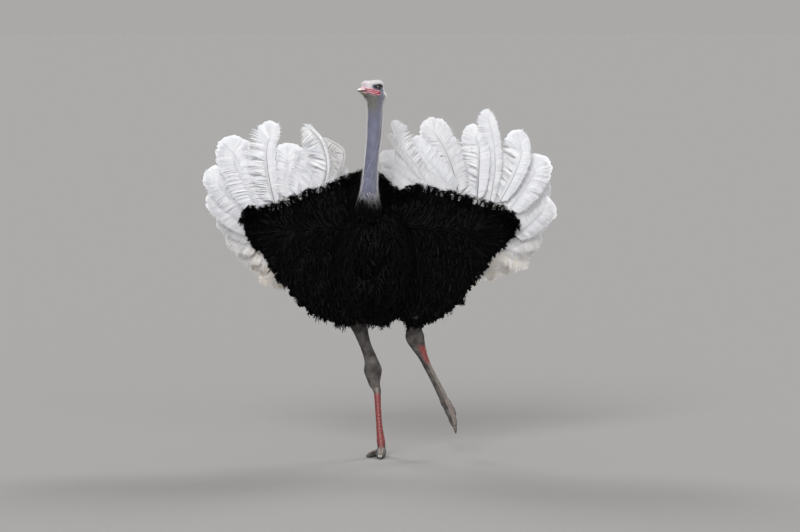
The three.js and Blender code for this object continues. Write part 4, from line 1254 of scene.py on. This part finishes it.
def plumes(spine, side, reach, fray, spacing, seed, uv=None, lean=62, lank=0.35, droop=0.12,
           curl=1.1, barb=1.7, stations=5, quill=0.0016, shaft=1.0, dusk=0.0, core=0.0, rounded=0.0):
    """Plumes along spines (plume, station, xyz), with their two reaches and how open the two sides
    are. A barb leaves the shaft at lean degrees, bends outward by lank, hangs by droop and curls
    back over the edge. The more open its side is, the less it curls and the more it clumps. A core
    closes the middle of the vane out to that share of the barbs, and then every third pair of barbs
    lies behind it. A rounded plume's tip is closed on both sides, and its clumps are smaller."""
    rng = np.random.default_rng(seed)
    shaft, dusk, rounded = (np.broadcast_to(1.0 * x, (len(spine),)) for x in (shaft, dusk, rounded))
    along = unit(np.gradient(spine, axis=1))
    side = square_to(side, along)
    length = np.linalg.norm(np.diff(spine, axis=1), axis=-1).sum(axis=1)
    count = np.maximum(length * (1 - BARE_QUILL) / spacing, 5).astype(int)
    # The barbs follow each other up each shaft, by turns on its two sides.
    plume = np.repeat(np.arange(len(spine)), 2 * count)
    order = np.arange(len(plume)) - np.repeat(np.cumsum(2 * count) - 2 * count, 2 * count)
    right = order % 2
    share = (order // 2 + rng.uniform(0.2, 0.8, len(plume))) / count[plume]
    t = BARE_QUILL + (1 - BARE_QUILL) * (1 - (1 - share) ** 1.4)
    root, ahead, beside = (read_rows(table, plume, t) for table in (spine, along, side))
    ahead = unit(ahead)
    beside = square_to(beside, ahead)
    face = np.cross(beside, ahead)
    beside = beside * (2.0 * right - 1)[:, None]
    # Some are rooted behind the roof that closes the vane.
    behind = (order // 2 % 3 == 0) * (core > 0) * (t < 0.9)
    roof = ROOF_SLOPE * core * reach.mean(axis=1)[plume] * through(BARB_REACH, t)[:, 0] + 0.004
    root = root - face * (behind * roof)[:, None]
    half, whole = reach[plume, right], reach.mean(axis=1)[plume]
    # Near the tip they fan round the end, and on an open side they part into clumps.
    fan = np.clip(1 - 1.2 * whole / length[plume], 0.4, 0.95)
    tip = np.clip((t - fan) / (1 - fan), 0, 1) ** 4
    loose = fray[plume, right] * ease(0.1, 0.35, t) * (1 - 0.5 * rounded[plume] * ease(0.75, 0.95, t))
    clump_size = CLUMP * (1 - 0.3 * rounded[plume]) * whole
    step = t * length[plume] / clump_size + rng.uniform(0, 1, len(spine))[plume]
    lock = step.astype(int)
    within = step - lock - 0.5
    roll = rng.uniform(-1, 1, (len(spine), lock.max() + 2, 2, 3))[plume, lock, right]
    # Each has its own angle, length and curl, and those of one clump go together.
    angle = math.radians(lean) * (1 - tip) + 0.12 * tip + rng.normal(0, 0.04, len(plume))
    angle = angle + 0.26 * loose * roll[:, 0]
    long = half * through(BARB_REACH, t)[:, 0] * (1 + 0.2 * loose * roll[:, 1])
    long = (long * (1 - tip) + 0.9 * whole * tip) * (1 + 0.05 * rng.normal(0, 1, len(plume)))
    curl_back = curl * (1 - 0.8 * loose) * (1 - 0.5 * tip) * (1 + 0.12 * rng.normal(0, 1, len(plume)))
    curl_back = curl_back * (1 - 0.9 * behind)
    long = long * (1 + 0.2 * curl_back)
    gather_in = within * 0.9 * clump_size / long * loose

    def planar(s):
        """The barb's direction within the vane, at shares s of its length."""
        bend = angle[:, None] + (lank * (1 - tip) + gather_in)[:, None] * s
        return np.cos(bend)[..., None] * ahead[:, None] + np.sin(bend)[..., None] * beside[:, None]

    s = (np.arange(stations - 1) + 0.5) / (stations - 1)
    back = (curl_back[:, None] * s ** 2.2)[..., None]
    way = np.cos(back) * planar(s) - np.sin(back) * face[:, None]
    way = unit(way + (droop * s)[:, None] * np.array([0, 0, -1.0])) * (long / (stations - 1))[:, None, None]
    path = np.concatenate([root[:, None], root[:, None] + np.cumsum(way, axis=1)], axis=1)
    flat = np.cross(face[:, None], planar(np.linspace(0, 1, stations))) + 0.14 * face[:, None]
    # A barb is barb times the spacing wide, less where it is loose and more at the tip.
    fine = barb * spacing / 2 * (1 - 0.3 * loose) * (1 + 0.7 * tip) * rng.uniform(0.85, 1.15, len(plume))
    width = taper(stations, fine, fullest=0.25, point=0.5)
    if uv is None:
        strip = (plume + 0.2 + 0.6 * right) / len(spine)
        barb_uv = MARGIN + SPAN * np.stack([strip, t], axis=-1)
        middle = np.stack([(np.arange(len(spine)) + 0.5) / len(spine), np.full(len(spine), 0.5)], axis=-1)
        shaft_uv = MARGIN + SPAN * middle
    else:
        barb_uv, shaft_uv = uv[plume], uv
    tone = np.clip(0.5 + (0.08 + 0.2 * loose) * roll[:, 2] + rng.normal(0, 0.18, len(plume)), 0, 1)
    vane = blades(path, flat, width, 0.16 * width, barb_uv, tone=tone, shaft=0.0, dusk=dusk[plume])
    thin = quill * (0.4 + 0.6 * shaft)[:, None] * np.linspace(1, 0.3, spine.shape[1])
    rib = blades(spine, side, thin, thin, shaft_uv, tone=0.5, shaft=shaft, dusk=dusk)
    if not core:
        return [vane, rib]
    parted = np.clip(1.15 * fray - 0.12, 0, 1)
    shut = rounded[:, None]
    web = webs(spine, side, core * reach * (1 - parted * (1 - shut)), shaft_uv, beyond=0.8 + 0.1 * shut,
               parted=parted * shut, tone=0.5, shaft=0.0, dusk=dusk)
    return [vane, rib, web]


# %% [markdown]
# ## Black plumage
# The black feathers are closed vanes with toothed edges, with small loose plumes among them. They are
# rooted on the skin and lie the way the plumage falls: down the breast and flanks, back over the
# rump, and away from the bones of the spread wings. A feather that leaves the surface steeply is
# rooted deeper, so that its tip stays where the plumage ends.


# %% Feathers over a surface
def feathers(grid, spacing, seed, flow, depth, length=0.13, half=0.03, weight=1.0, lift=0.35,
             gap=0.008, fence=None):
    """Feathers over a grid, lying along flow. Each rises from its root by lift radians and dips again
    to its tip, and is drawn back until its tip keeps inside the fence. With a gap they are small
    plumes, that far between barbs. With none they are closed vanes with teeth."""
    rng = np.random.default_rng(seed)
    roots, normal, uv = scatter(grid, spacing, seed, weight)
    lie = unit(flow(roots) + rng.normal(0, 0.2, roots.shape))
    steep = np.sum(lie * normal, axis=-1)
    lie = unit(lie - normal * np.minimum(steep - 0.05, 0)[:, None])
    steep = np.clip(steep, 0.05, 1)
    long = length * rng.uniform(0.75, 1.2, len(roots))
    shown = np.minimum(0.62 * long, 1.05 * depth / steep * rng.uniform(0.85, 1.15, len(roots)))
    roots = roots - lie * (long - shown)[:, None]
    for _ in range(4 if fence else 0):
        roots = roots - lie * fence(roots + lie * long[:, None])[:, None]
    out = square_to(normal, lie)
    start = lift * (1 - steep) * rng.uniform(0.5, 1.3, len(roots))
    spine = arcs(roots, lie, out, long, start, -0.45 * (1 - steep), rng.normal(0, 0.45, len(roots)),
                 stations=8 if gap else 12)
    beside = square_to(np.cross(lie, out) + out * rng.normal(0, 0.2, (len(roots), 1)), lie)[:, None]
    reach = half * rng.uniform(0.75, 1.2, (len(roots), 2))
    if not gap:
        return [webs(spine, beside, reach, uv, notch=0.6, sweep=0.7, tone=rng.uniform(0, 1, len(roots)),
                     shaft=0.0, dusk=0.0)]
    return plumes(spine, beside, reach, np.full(reach.shape, 0.75), gap, seed + 1, uv, lean=58, lank=0.5,
                  droop=0.1, curl=0.9, barb=0.95, stations=4, quill=0.0012, core=1.3)


LOCK_STRANDS, STRAND_HALF, STRAND_STATIONS = 5, 0.0036, 5


def locks(grid, spacing, seed, flow, length, weight=1.0):
    """Pointed locks that hang free at a lower edge: strands whose roots are spread and whose tips
    draw together."""
    rng = np.random.default_rng(seed)
    roots, normal, uv = scatter(grid, spacing, seed, weight)
    lie = unit(flow(roots) + rng.normal(0, 0.16, roots.shape))
    out = square_to(normal + 0.05 * VIEWER, lie)
    long = length * rng.uniform(0.6, 1.15, len(roots))
    pick = np.repeat(np.arange(len(roots)), LOCK_STRANDS)
    jitter = rng.normal(0, 0.4 * spacing, (len(pick), 3))
    aim = unit(lie[pick] - jitter / long[pick][:, None] * 0.7)
    path = arcs(roots[pick] + jitter, aim, square_to(out[pick], aim),
                long[pick] * rng.uniform(0.7, 1.1, len(pick)), rng.uniform(-0.2, 0.3, len(pick)), -0.2,
                rng.normal(0, 0.35, len(pick)), STRAND_STATIONS, late=0.8)
    width = taper(STRAND_STATIONS, STRAND_HALF * rng.uniform(0.6, 1.25, len(pick)), point=0.6)
    tone = rng.uniform(0, 1, len(roots))[pick]
    return blades(path, np.cross(aim, out[pick])[:, None], width, 0.45 * width, uv[pick],
                  tone=tone, shaft=0.0, dusk=0.0)


def body_flow(points):
    """The fall of the body plumage: down the breast, down and back along the flanks, back over
    the rump."""
    high = ease(1.25, 1.65, points[:, 2])[:, None]
    rear = ease(-0.35, 0.1, points[:, 1] - SHIFT[1])[:, None]
    return unit(np.array([0, 0, -1.0]) * (1.05 - 0.75 * high * rear) + np.array([0, 1.0, 0]) * (
        0.12 + 0.85 * rear))


SHOULDER, WRIST = np.array([150.0, 1500.0]), np.array([600.0, 1450.0])  # out and up


def wing_flow(side):
    """The spread of the wing plumage: away from the nearest point of the arm's bones, which run
    from the shoulder to the wrist, and a little down."""
    sign = SIDES[side]
    first, arm = SHOULDER, WRIST - SHOULDER

    def flow(points):
        """Directions at points in the frame."""
        spot = (points - SHIFT) / MM
        flat = np.stack([sign * spot[:, 0], spot[:, 2]], axis=-1)
        share = np.clip((flat - first) @ arm / (arm @ arm), 0, 1)
        away = flat - first - share[:, None] * arm + [18, -10]
        away = away / np.linalg.norm(away, axis=-1, keepdims=True)
        return unit(np.stack([sign * away[:, 0], WING_SWEEP * away[:, 0], away[:, 1]], axis=-1))

    return flow


def wing_fence(side):
    """How far points stand out of the black shield's outline, seen from in front."""

    def fence(points):
        """Metres beyond the outline, at points in the frame."""
        spot = (points - SHIFT) / MM
        out = SIDES[side] * spot[:, 0]
        top, low = (np.interp(out, SHIELD_OUT, rows[side]) for rows in (SHIELD_TOP, SHIELD_LOW))
        beyond = np.maximum.reduce([out - SHIELD_END, spot[:, 2] - top + 24, low - spot[:, 2] - 6])
        return np.maximum(beyond + 14 * noise(spot, 30.0, 33), 0) * MM

    return fence


def body_fence(points):
    """How far points hang below the trunk's oval sections, in metres. In front of its widest section
    that one counts, as the breast's feathers hang before it."""
    rows = np.array(TRUNK, float)
    spot = (points - SHIFT) / MM
    at = np.maximum(spot[:, 1], 40)
    x, z, wide, high = (np.interp(at, rows[:, 1], rows[:, k]) for k in (0, 2, 3, 4))
    off = np.hypot((spot[:, 0] - x) / wide, (spot[:, 2] - z) / high)
    beyond = (off - 1) * high + 12 * noise(spot, 30.0, 34)
    return np.where(spot[:, 2] < z, np.clip(beyond, 0, 22), 0) * MM


def low_facing(grid):
    """Weight for scattering: 1 where a grid faces downward and 0 where it doesn't."""
    return (outward(grid)[:-1, :, 2] < -0.25) * 1.0


# %% The body's coat
fore_part = np.linspace(0, 1, TRUNK_RINGS - 1)[:, None]
for name, part in (("front", 1.0 * (fore_part < 0.5)), ("rear", 1.0 * (fore_part >= 0.5))):
    closed = feathers(trunk_skin, 0.026, 70, body_flow, 0.03, length=0.12, half=0.02, weight=part, gap=None,
                      fence=body_fence)
    loose = feathers(trunk_skin, 0.08, 71, body_flow, 0.036, weight=part, fence=body_fence)
    hanging = locks(trunk_skin, 0.042, 78, body_flow, 0.07, weight=low_facing(trunk_skin) * part)
    coat(f"body_coat_{name}", closed + loose + [hanging], black_finish, "black_plumage", ["trunk"])
closed = feathers(mantle_skin, 0.026, 72, body_flow, 0.03, length=0.1, half=0.018, gap=None)
loose = feathers(mantle_skin, 0.06, 73, body_flow, 0.036, length=0.11)
coat("mantle_coat", closed + loose, black_finish, "black_plumage", ["trunk"])

# %% The black of the wings
for side in SIDES:
    skin, flow, fence = wing_skin[side], wing_flow(side), wing_fence(side)
    closed = feathers(skin, 0.0245, 77, flow, 0.024, length=0.1, half=0.018, gap=None, fence=fence)
    loose = feathers(skin, 0.068, 74, flow, 0.028, length=0.11, fence=fence)
    fringe = locks(skin, 0.03, 75, flow, 0.066, weight=low_facing(skin))
    coat(f"coverts_{side}", closed + loose + [fringe], black_finish, "black_plumage",
         [f"wing_{side}_coverts"])

# %% [markdown]
# Round the foot of the neck the plumage rises as a ruff, and at the top of each wing and of the
# mantle it ends in a frill of plumes that curl over at their tips.


# %% Ruff at the foot of the neck
RUFF_RINGS = 25


def ruff_flow(points):
    """Down, and a little out from the neck."""
    return np.tile([0.0, -0.15, -1.0], (len(points), 1))


neck_rings = head_surface[-RUFF_RINGS:]
ruff_weight = ease(0, 13, np.arange(RUFF_RINGS - 1))[:, None] ** 1.5
closed = feathers(neck_rings, 0.02, 79, ruff_flow, 0.024, length=0.08, half=0.018, weight=ruff_weight,
                  lift=0.5, gap=None)
loose = feathers(neck_rings, 0.036, 76, ruff_flow, 0.03, length=0.085, half=0.02, weight=ruff_weight,
                 lift=0.6, gap=0.006)
coat("neck_ruff", closed + loose, black_finish, "black_plumage", ["neck_lower"])


# %% Frill along the upper edges
MANTLE_EDGE = [
    [-235, -130, 1700, 40, 60], [-180, -140, 1755, 40, 70], [-130, -150, 1800, 40, 60],
    [-80, -155, 1812, 40, 50], [-20, -155, 1790, 40, 60], [40, -160, 1735, 40, 80],
    [95, -170, 1690, 40, 90], [150, -165, 1668, 40, 80],
]  # x, y, z, half height, half depth


def frill(rows, count, seed):
    """Spines of curled plumes along the upper edge of a carried section, evenly spaced, square to it
    with some scatter, and spread over its thickness."""
    rng = np.random.default_rng(seed)
    t = 0.02 + 0.97 * (np.arange(count) + rng.uniform(0.2, 0.8, count)) / count
    edge = through(rows, t)
    slope = through(rows, t + 0.01) - through(rows, t - 0.01)
    rise = slope[:, 2] + slope[:, 3]
    away = unit(np.stack([-rise * np.sign(slope[:, 0]), 0 * rise, np.abs(slope[:, 0])], axis=-1))
    top = np.stack([edge[:, 0], edge[:, 1], edge[:, 2] + edge[:, 3]], axis=-1)
    layer = rng.uniform(-0.8, 0.9, count) * edge[:, 4]
    length = rng.uniform(75, 125, count)
    lie = unit(away + rng.normal(0, 0.2, (count, 3)))
    root = top - away * (0.7 * length)[:, None] + np.stack([0 * t, layer, 0 * t], axis=-1)
    over = square_to(VIEWER * rng.choice([1.0, 1.0, -1.0], count)[:, None]
                     + rng.normal(0, 0.7, (count, 3)), lie)
    spine = arcs(place(root), lie, over, length * MM, -0.15, rng.uniform(0.9, 2.2, count), stations=12,
                 late=2.6)
    return spine, np.cross(lie, over)[:, None], rng.uniform(0.02, 0.034, (count, 2))


for name, rows, count, node_name in (("frill_left", shield_rows("left"), 105, "wing_left_coverts"),
                                     ("frill_right", shield_rows("right"), 105, "wing_right_coverts"),
                                     ("frill_mantle", MANTLE_EDGE, 70, "trunk")):
    spine, beside, reach = frill(rows, count, 95)
    curled = plumes(spine, beside, reach, np.full(reach.shape, 0.8), 0.0046, 96, lean=58, lank=0.6,
                    droop=0.1, curl=0.8, barb=0.9, stations=4, quill=0.0014, core=1.4)
    coat(name, curled, black_finish, "black_plumage", [node_name])

# %% [markdown]
# ## White plumes
# The long plumes grow from the trailing edge of the forearm and hand, and each has its own bend. A
# row gives four points of the shaft, from the root to where the barbs end beyond it, as x and z.
# After them come the reach to the right and left of the bird, how open those two sides are, how far
# back the plume stands, how much its shaft shows, and how shaded it is.

# %% Table of the white plumes
WHITE = {
    "left": [
        [232, 1707, 148, 1765, 78, 1829, 26, 1885, 45, 52, 0.2, 0.1, -20, 0, 0.1],
        [438, 1717, 290, 1795, 148, 1879, 7, 1963, 65, 65, 0.15, 0.1, -12, 0, 0.05],
        [258, 1795, 174, 1918, 103, 2007, 52, 2090, 13, 32, 0.7, 0.9, 14, 0.3, 0.1],
        [296, 1782, 200, 1924, 129, 2046, 84, 2174, 19, 77, 0.3, 0.8, 8, 0.5, 0.05],
        [490, 1709, 393, 1826, 297, 1942, 213, 2064, 71, 71, 0.1, 0.1, -8, 0, 0],
        [510, 1689, 471, 1857, 413, 1999, 303, 2172, 97, 97, 0.6, 0.2, 2, 1, 0.05],
        [569, 1675, 549, 1804, 517, 1919, 485, 2009, 84, 84, 0.1, 0.1, 20, 0, 0.05],
        [627, 1662, 640, 1843, 640, 1997, 582, 2145, 110, 65, 0.9, 0.15, -6, 1, 0],
        [705, 1622, 744, 1854, 732, 2054, 687, 2241, 77, 45, 0.35, 0.2, 6, 0.8, 0],
        [776, 1648, 861, 1801, 914, 1949, 896, 2110, 123, 58, 0.8, 0.03, -4, 0.8, 0],
        [829, 1582, 927, 1716, 1000, 1831, 1041, 1953, 103, 97, 0.1, 0.03, 4, 0.5, 0],
        [855, 1503, 954, 1611, 1040, 1706, 1094, 1795, 71, 77, 0.1, 0.03, 16, 0.2, 0.03],
        [868, 1419, 960, 1495, 1046, 1570, 1127, 1639, 90, 90, 0.1, 0.03, -2, 0.5, 0],
        [829, 1361, 915, 1384, 995, 1401, 1082, 1423, 84, 77, 0.2, 0.2, 10, 0, 0],
        [803, 1336, 889, 1327, 968, 1324, 1049, 1320, 71, 71, 0.3, 0.4, 2, 0, 0],
        [777, 1310, 850, 1281, 916, 1252, 990, 1222, 71, 65, 0.4, 0.5, 8, 0, 0],
        [725, 1298, 771, 1244, 811, 1196, 858, 1147, 65, 65, 0.4, 0.6, -2, 0, 0],
        [673, 1286, 699, 1219, 713, 1158, 727, 1097, 58, 58, 0.5, 0.6, 6, 0, 0],
        [608, 1287, 608, 1208, 596, 1141, 577, 1074, 52, 52, 0.5, 0.6, 0, 0, 0],
    ],
    "right": [
        [-328, 1705, -276, 1770, -232, 1807, -181, 1787, 52, 39, 0.15, 0.3, -16, 0, 0.05],
        [-348, 1691, -277, 1795, -232, 1871, -213, 1883, 58, 52, 0.2, 0.1, 0, 0, 0.1],
        [-348, 1691, -270, 1826, -238, 1980, -369, 2062, 52, 10, 1, 0.1, 14, 0.9, 0.25],
        [-348, 1691, -296, 1800, -277, 1922, -369, 1991, 45, 10, 1, 0.1, 20, 0.6, 0.3],
        [-374, 1717, -341, 1884, -387, 2050, -505, 2152, 103, 19, 1, 0.3, 8, 0.8, 0.03],
        [-438, 1704, -374, 1775, -335, 1838, -304, 1902, 71, 58, 0.1, 0.05, -12, 0, 0.03],
        [-484, 1690, -432, 1793, -394, 1876, -362, 1959, 84, 77, 0.1, 0.05, -6, 0, 0],
        [-536, 1683, -497, 1805, -465, 1908, -447, 2010, 90, 90, 0.1, 0.1, -2, 0, 0],
        [-601, 1669, -608, 1791, -602, 1906, -590, 2022, 84, 90, 0.3, 0.1, 2, 0, 0],
        [-679, 1636, -725, 1842, -732, 2009, -675, 2151, 129, 52, 0.85, 0.05, -8, 1, 0],
        [-732, 1615, -791, 1743, -851, 1871, -892, 1999, 77, 71, 0.1, 0.1, 12, 0, 0],
        [-764, 1570, -856, 1730, -929, 1890, -983, 2071, 110, 110, 0.12, 0.05, -4, 0, 0],
        [-798, 1498, -916, 1619, -1029, 1733, -1116, 1854, 90, 97, 0.15, 0.05, 6, 0, 0],
        [-817, 1446, -922, 1528, -1022, 1610, -1117, 1704, 77, 90, 0.15, 0.05, -2, 0, 0.02],
        [-817, 1394, -903, 1450, -990, 1505, -1071, 1580, 77, 77, 0.2, 0.1, 6, 0, 0.04],
        [-791, 1336, -864, 1366, -937, 1402, -1012, 1458, 77, 71, 0.3, 0.2, 0, 0, 0.05],
        [-752, 1284, -818, 1295, -885, 1312, -960, 1347, 71, 71, 0.35, 0.3, 8, 0, 0.06],
        [-706, 1240, -759, 1232, -819, 1235, -893, 1251, 65, 65, 0.4, 0.4, 0, 0, 0.08],
        [-648, 1189, -694, 1161, -748, 1145, -815, 1147, 58, 65, 0.5, 0.4, 6, 0, 0.1],
        [-569, 1197, -609, 1143, -656, 1101, -716, 1078, 45, 52, 0.5, 0.5, 0, 0, 0.1],
    ],
}
SHAFT, REACH, OPEN = slice(0, 8), slice(8, 10), slice(10, 12)  # columns of the table
BEHIND, SHOWN, SHADED = 12, 13, 14
FIRST_PRIMARY = 10                       # the rows before it are secondaries
FULLNESS = 1.12                          # barbs are this much longer than their reach across
PLUME_LEAN = 95.0                        # the tips stand this far behind the roots
PLUME_BASE, PLUME_SWEEP = -109.0, 0.285  # the wing's trailing edge, and how it runs back outward
LOW_ROOTS = 1370.0                       # plumes rooted below this have loose tips
SHAFT_STATIONS, SHAFT_ROLL = 44, 0.3


def plume_spines(rows, seed):
    """Spines as cubics through the four points, cut short by the reach of the last barbs. In depth
    they follow the trailing edge and lean back as the share of the way to the power 1.6, and their
    tips nod a little forward or back."""
    rng = np.random.default_rng(seed)
    rows = np.asarray(rows, float)
    flat = through(rows[:, SHAFT].reshape(-1, 4, 2).swapaxes(0, 1).reshape(4, -1), np.linspace(0, 1, 80))
    flat = flat.reshape(80, -1, 2).swapaxes(0, 1)
    gone = np.cumsum(np.linalg.norm(np.diff(flat, axis=1), axis=-1), axis=1)
    gone = np.concatenate([np.zeros((len(rows), 1)), gone], axis=1)
    t = np.linspace(0, 1, SHAFT_STATIONS)
    wanted = t * (gone[:, -1:] - 0.85 * rows[:, REACH].mean(axis=1, keepdims=True))
    flat = np.stack([np.stack([np.interp(want, run, line[:, k]) for k in (0, 1)], axis=-1)
                     for want, run, line in zip(wanted, gone, flat)])
    nod = rng.normal(0, 26, (len(rows), 1)) * t ** 3
    y = (PLUME_BASE + PLUME_SWEEP * np.abs(flat[..., 0]) + rows[:, [BEHIND]] + PLUME_LEAN * t ** 1.6
         + nod)
    spine = place(np.stack([flat[..., 0], y, flat[..., 1]], axis=-1))
    ahead = unit(np.gradient(spine, axis=1))
    side = np.cross(ahead, VIEWER)
    turn = rng.uniform(-SHAFT_ROLL, SHAFT_ROLL, (len(rows), 1, 1))
    return spine, side * np.cos(turn) + np.cross(ahead, side) * np.sin(turn)


def plume_lots(rows, seed, spacing):
    """All the barbs and shafts of some rows of the table. The low plumes and the most open ones have
    loose tips, and the others rounded tips."""
    rows = np.asarray(rows, float)
    spine, beside = plume_spines(rows, seed)
    rounded = (rows[:, 1] > LOW_ROOTS) & (rows[:, OPEN].max(axis=1) < 0.95)
    return plumes(spine, beside, rows[:, REACH] * MM * FULLNESS, rows[:, OPEN], spacing, seed, lean=64,
                  lank=0.3, curl=0.8, barb=2.2, quill=0.0019, shaft=rows[:, SHOWN], dusk=rows[:, SHADED],
                  core=0.94, rounded=rounded)


def between_rows(rows):
    """Shorter closed plumes that stand behind, each midway between two of the table. Beside a loose
    plume they are shorter still, so that its gaps stay open."""
    rows = np.asarray(rows, float)
    low = (rows[:-1] + rows[1:]) / 2
    open_side = np.maximum(rows[:-1, OPEN].max(axis=1), rows[1:, OPEN].max(axis=1))[:, None]
    share = 0.82 - 0.3 * open_side - 0.22 * (open_side > 0.95)
    roots = np.tile(low[:, :2], 4)
    low[:, SHAFT] = roots + (low[:, SHAFT] - roots) * share
    low[:, REACH] = np.maximum(low[:, REACH], 62)
    low[:, OPEN] = 0.15
    low[:, [BEHIND, SHOWN, SHADED]] = [20, 0, 0.06]
    return low


# %% The white plumes of the wings
for side in SIDES:
    rows = WHITE[side]
    for group, first, last in (("secondaries", 0, FIRST_PRIMARY), ("primaries", FIRST_PRIMARY, len(rows))):
        main, behind = rows[first:last], between_rows(rows[max(first - 1, 0):last])
        coat(f"{group}_{side}", plume_lots(main, 81, 0.0028) + plume_lots(behind, 83, 0.0037),
             white_finish, "white_plumage", [f"wing_{side}_{group}"], smooth=False)

# %% [markdown]
# The tail is a low fan of short plumes on the rump. The outer ones are shorter, and each rises from
# the rump and then bends down.

# %% Tail
TAIL_ROOT = np.array([68.0, 560.0, 1420.0])
TAIL_COUNT, TAIL_SPREAD, TAIL_LENGTH = 13, 1.1, 400.0
turns = np.linspace(-1, 1, TAIL_COUNT)[:, None]
fan_angle = turns * TAIL_SPREAD
extent = TAIL_LENGTH * (1 - 0.2 * turns ** 2)
t = np.linspace(0, 0.88, 30)[None]
spine = place(TAIL_ROOT + np.stack([
    np.sin(fan_angle) * extent * t * 0.7,
    np.cos(0.6 * fan_angle) * extent * t * (1 - 0.35 * t),
    extent * (0.75 * t - 0.95 * t ** 2) - 50 * turns ** 2], axis=-1))
ahead = unit(np.gradient(spine, axis=1))
beside = np.cross(ahead, unit(np.array([0, 0.5, 0.85])))
reach, openness = np.full((TAIL_COUNT, 2), 0.055), np.full((TAIL_COUNT, 2), 0.5)
coat("tail_plumes", plumes(spine, beside, reach, openness, 0.0048, 91, droop=0.3, shaft=0.2),
     white_finish, "white_plumage", ["tail"], smooth=False)

# %% [markdown]
# ## Floor and light
# A pale floor runs far away, and the sky has the tone of the lit floor, so no line shows between
# them. Four broad lamps as soft as a hazy sun light it evenly: two in front, a high one towards the
# bird's right and a low one towards its left, and two behind, which draw the bright rims of the
# neck's down and of the plumes.

# %% Floor
floor_finish, tree, shader = finish_of("pale_floor")
shader.inputs["Base Color"].default_value = linear("#908F8E")
shader.inputs["Roughness"].default_value = 1.0
shader.inputs["Specular IOR Level"].default_value = 0.0
FAR = 2000.0  # metres from the middle of the floor to its edges
floor_mesh = bpy.data.meshes.new("floor")
floor_mesh.from_pydata([(-FAR, -FAR, 0), (FAR, -FAR, 0), (FAR, FAR, 0), (-FAR, FAR, 0)], [], [(0, 1, 2, 3)])
floor_mesh.materials.append(floor_finish)
floor = bpy.data.objects.new("floor", floor_mesh)
bpy.context.scene.collection.objects.link(floor)
floor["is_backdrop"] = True


# %% Lamps and sky
def lamp(name, bearing, rise, strength, softness):
    """A hazy sun: degrees round from straight in front of the bird and up, its strength, and how
    many degrees of sky it fills."""
    data = bpy.data.lights.new(name, "SUN")
    data.energy, data.angle = strength, math.radians(softness)
    made = bpy.data.objects.new(name, data)
    made.rotation_euler = (math.radians(90 - rise), 0, math.radians(bearing))
    bpy.context.scene.collection.objects.link(made)


lamp("key", -14, 28, 2.4, 24)
lamp("fill", 14, 6, 2.0, 60)
lamp("rim_left", -152, 30, 1.8, 20)
lamp("rim_right", 148, 34, 1.8, 20)
world = bpy.data.worlds.new("sky")
world.use_nodes = True
world.node_tree.nodes["Background"].inputs["Color"].default_value = linear("#AAA9A8")
world.node_tree.nodes["Background"].inputs["Strength"].default_value = 1.0
bpy.context.scene.world = world
bpy.context.scene.view_settings.view_transform = "Standard"

# %% [markdown]
# ## Sizes
# The looks stand a little proud of the solids. The box round the looks is measured.

# %% The box round the looks
low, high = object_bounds()
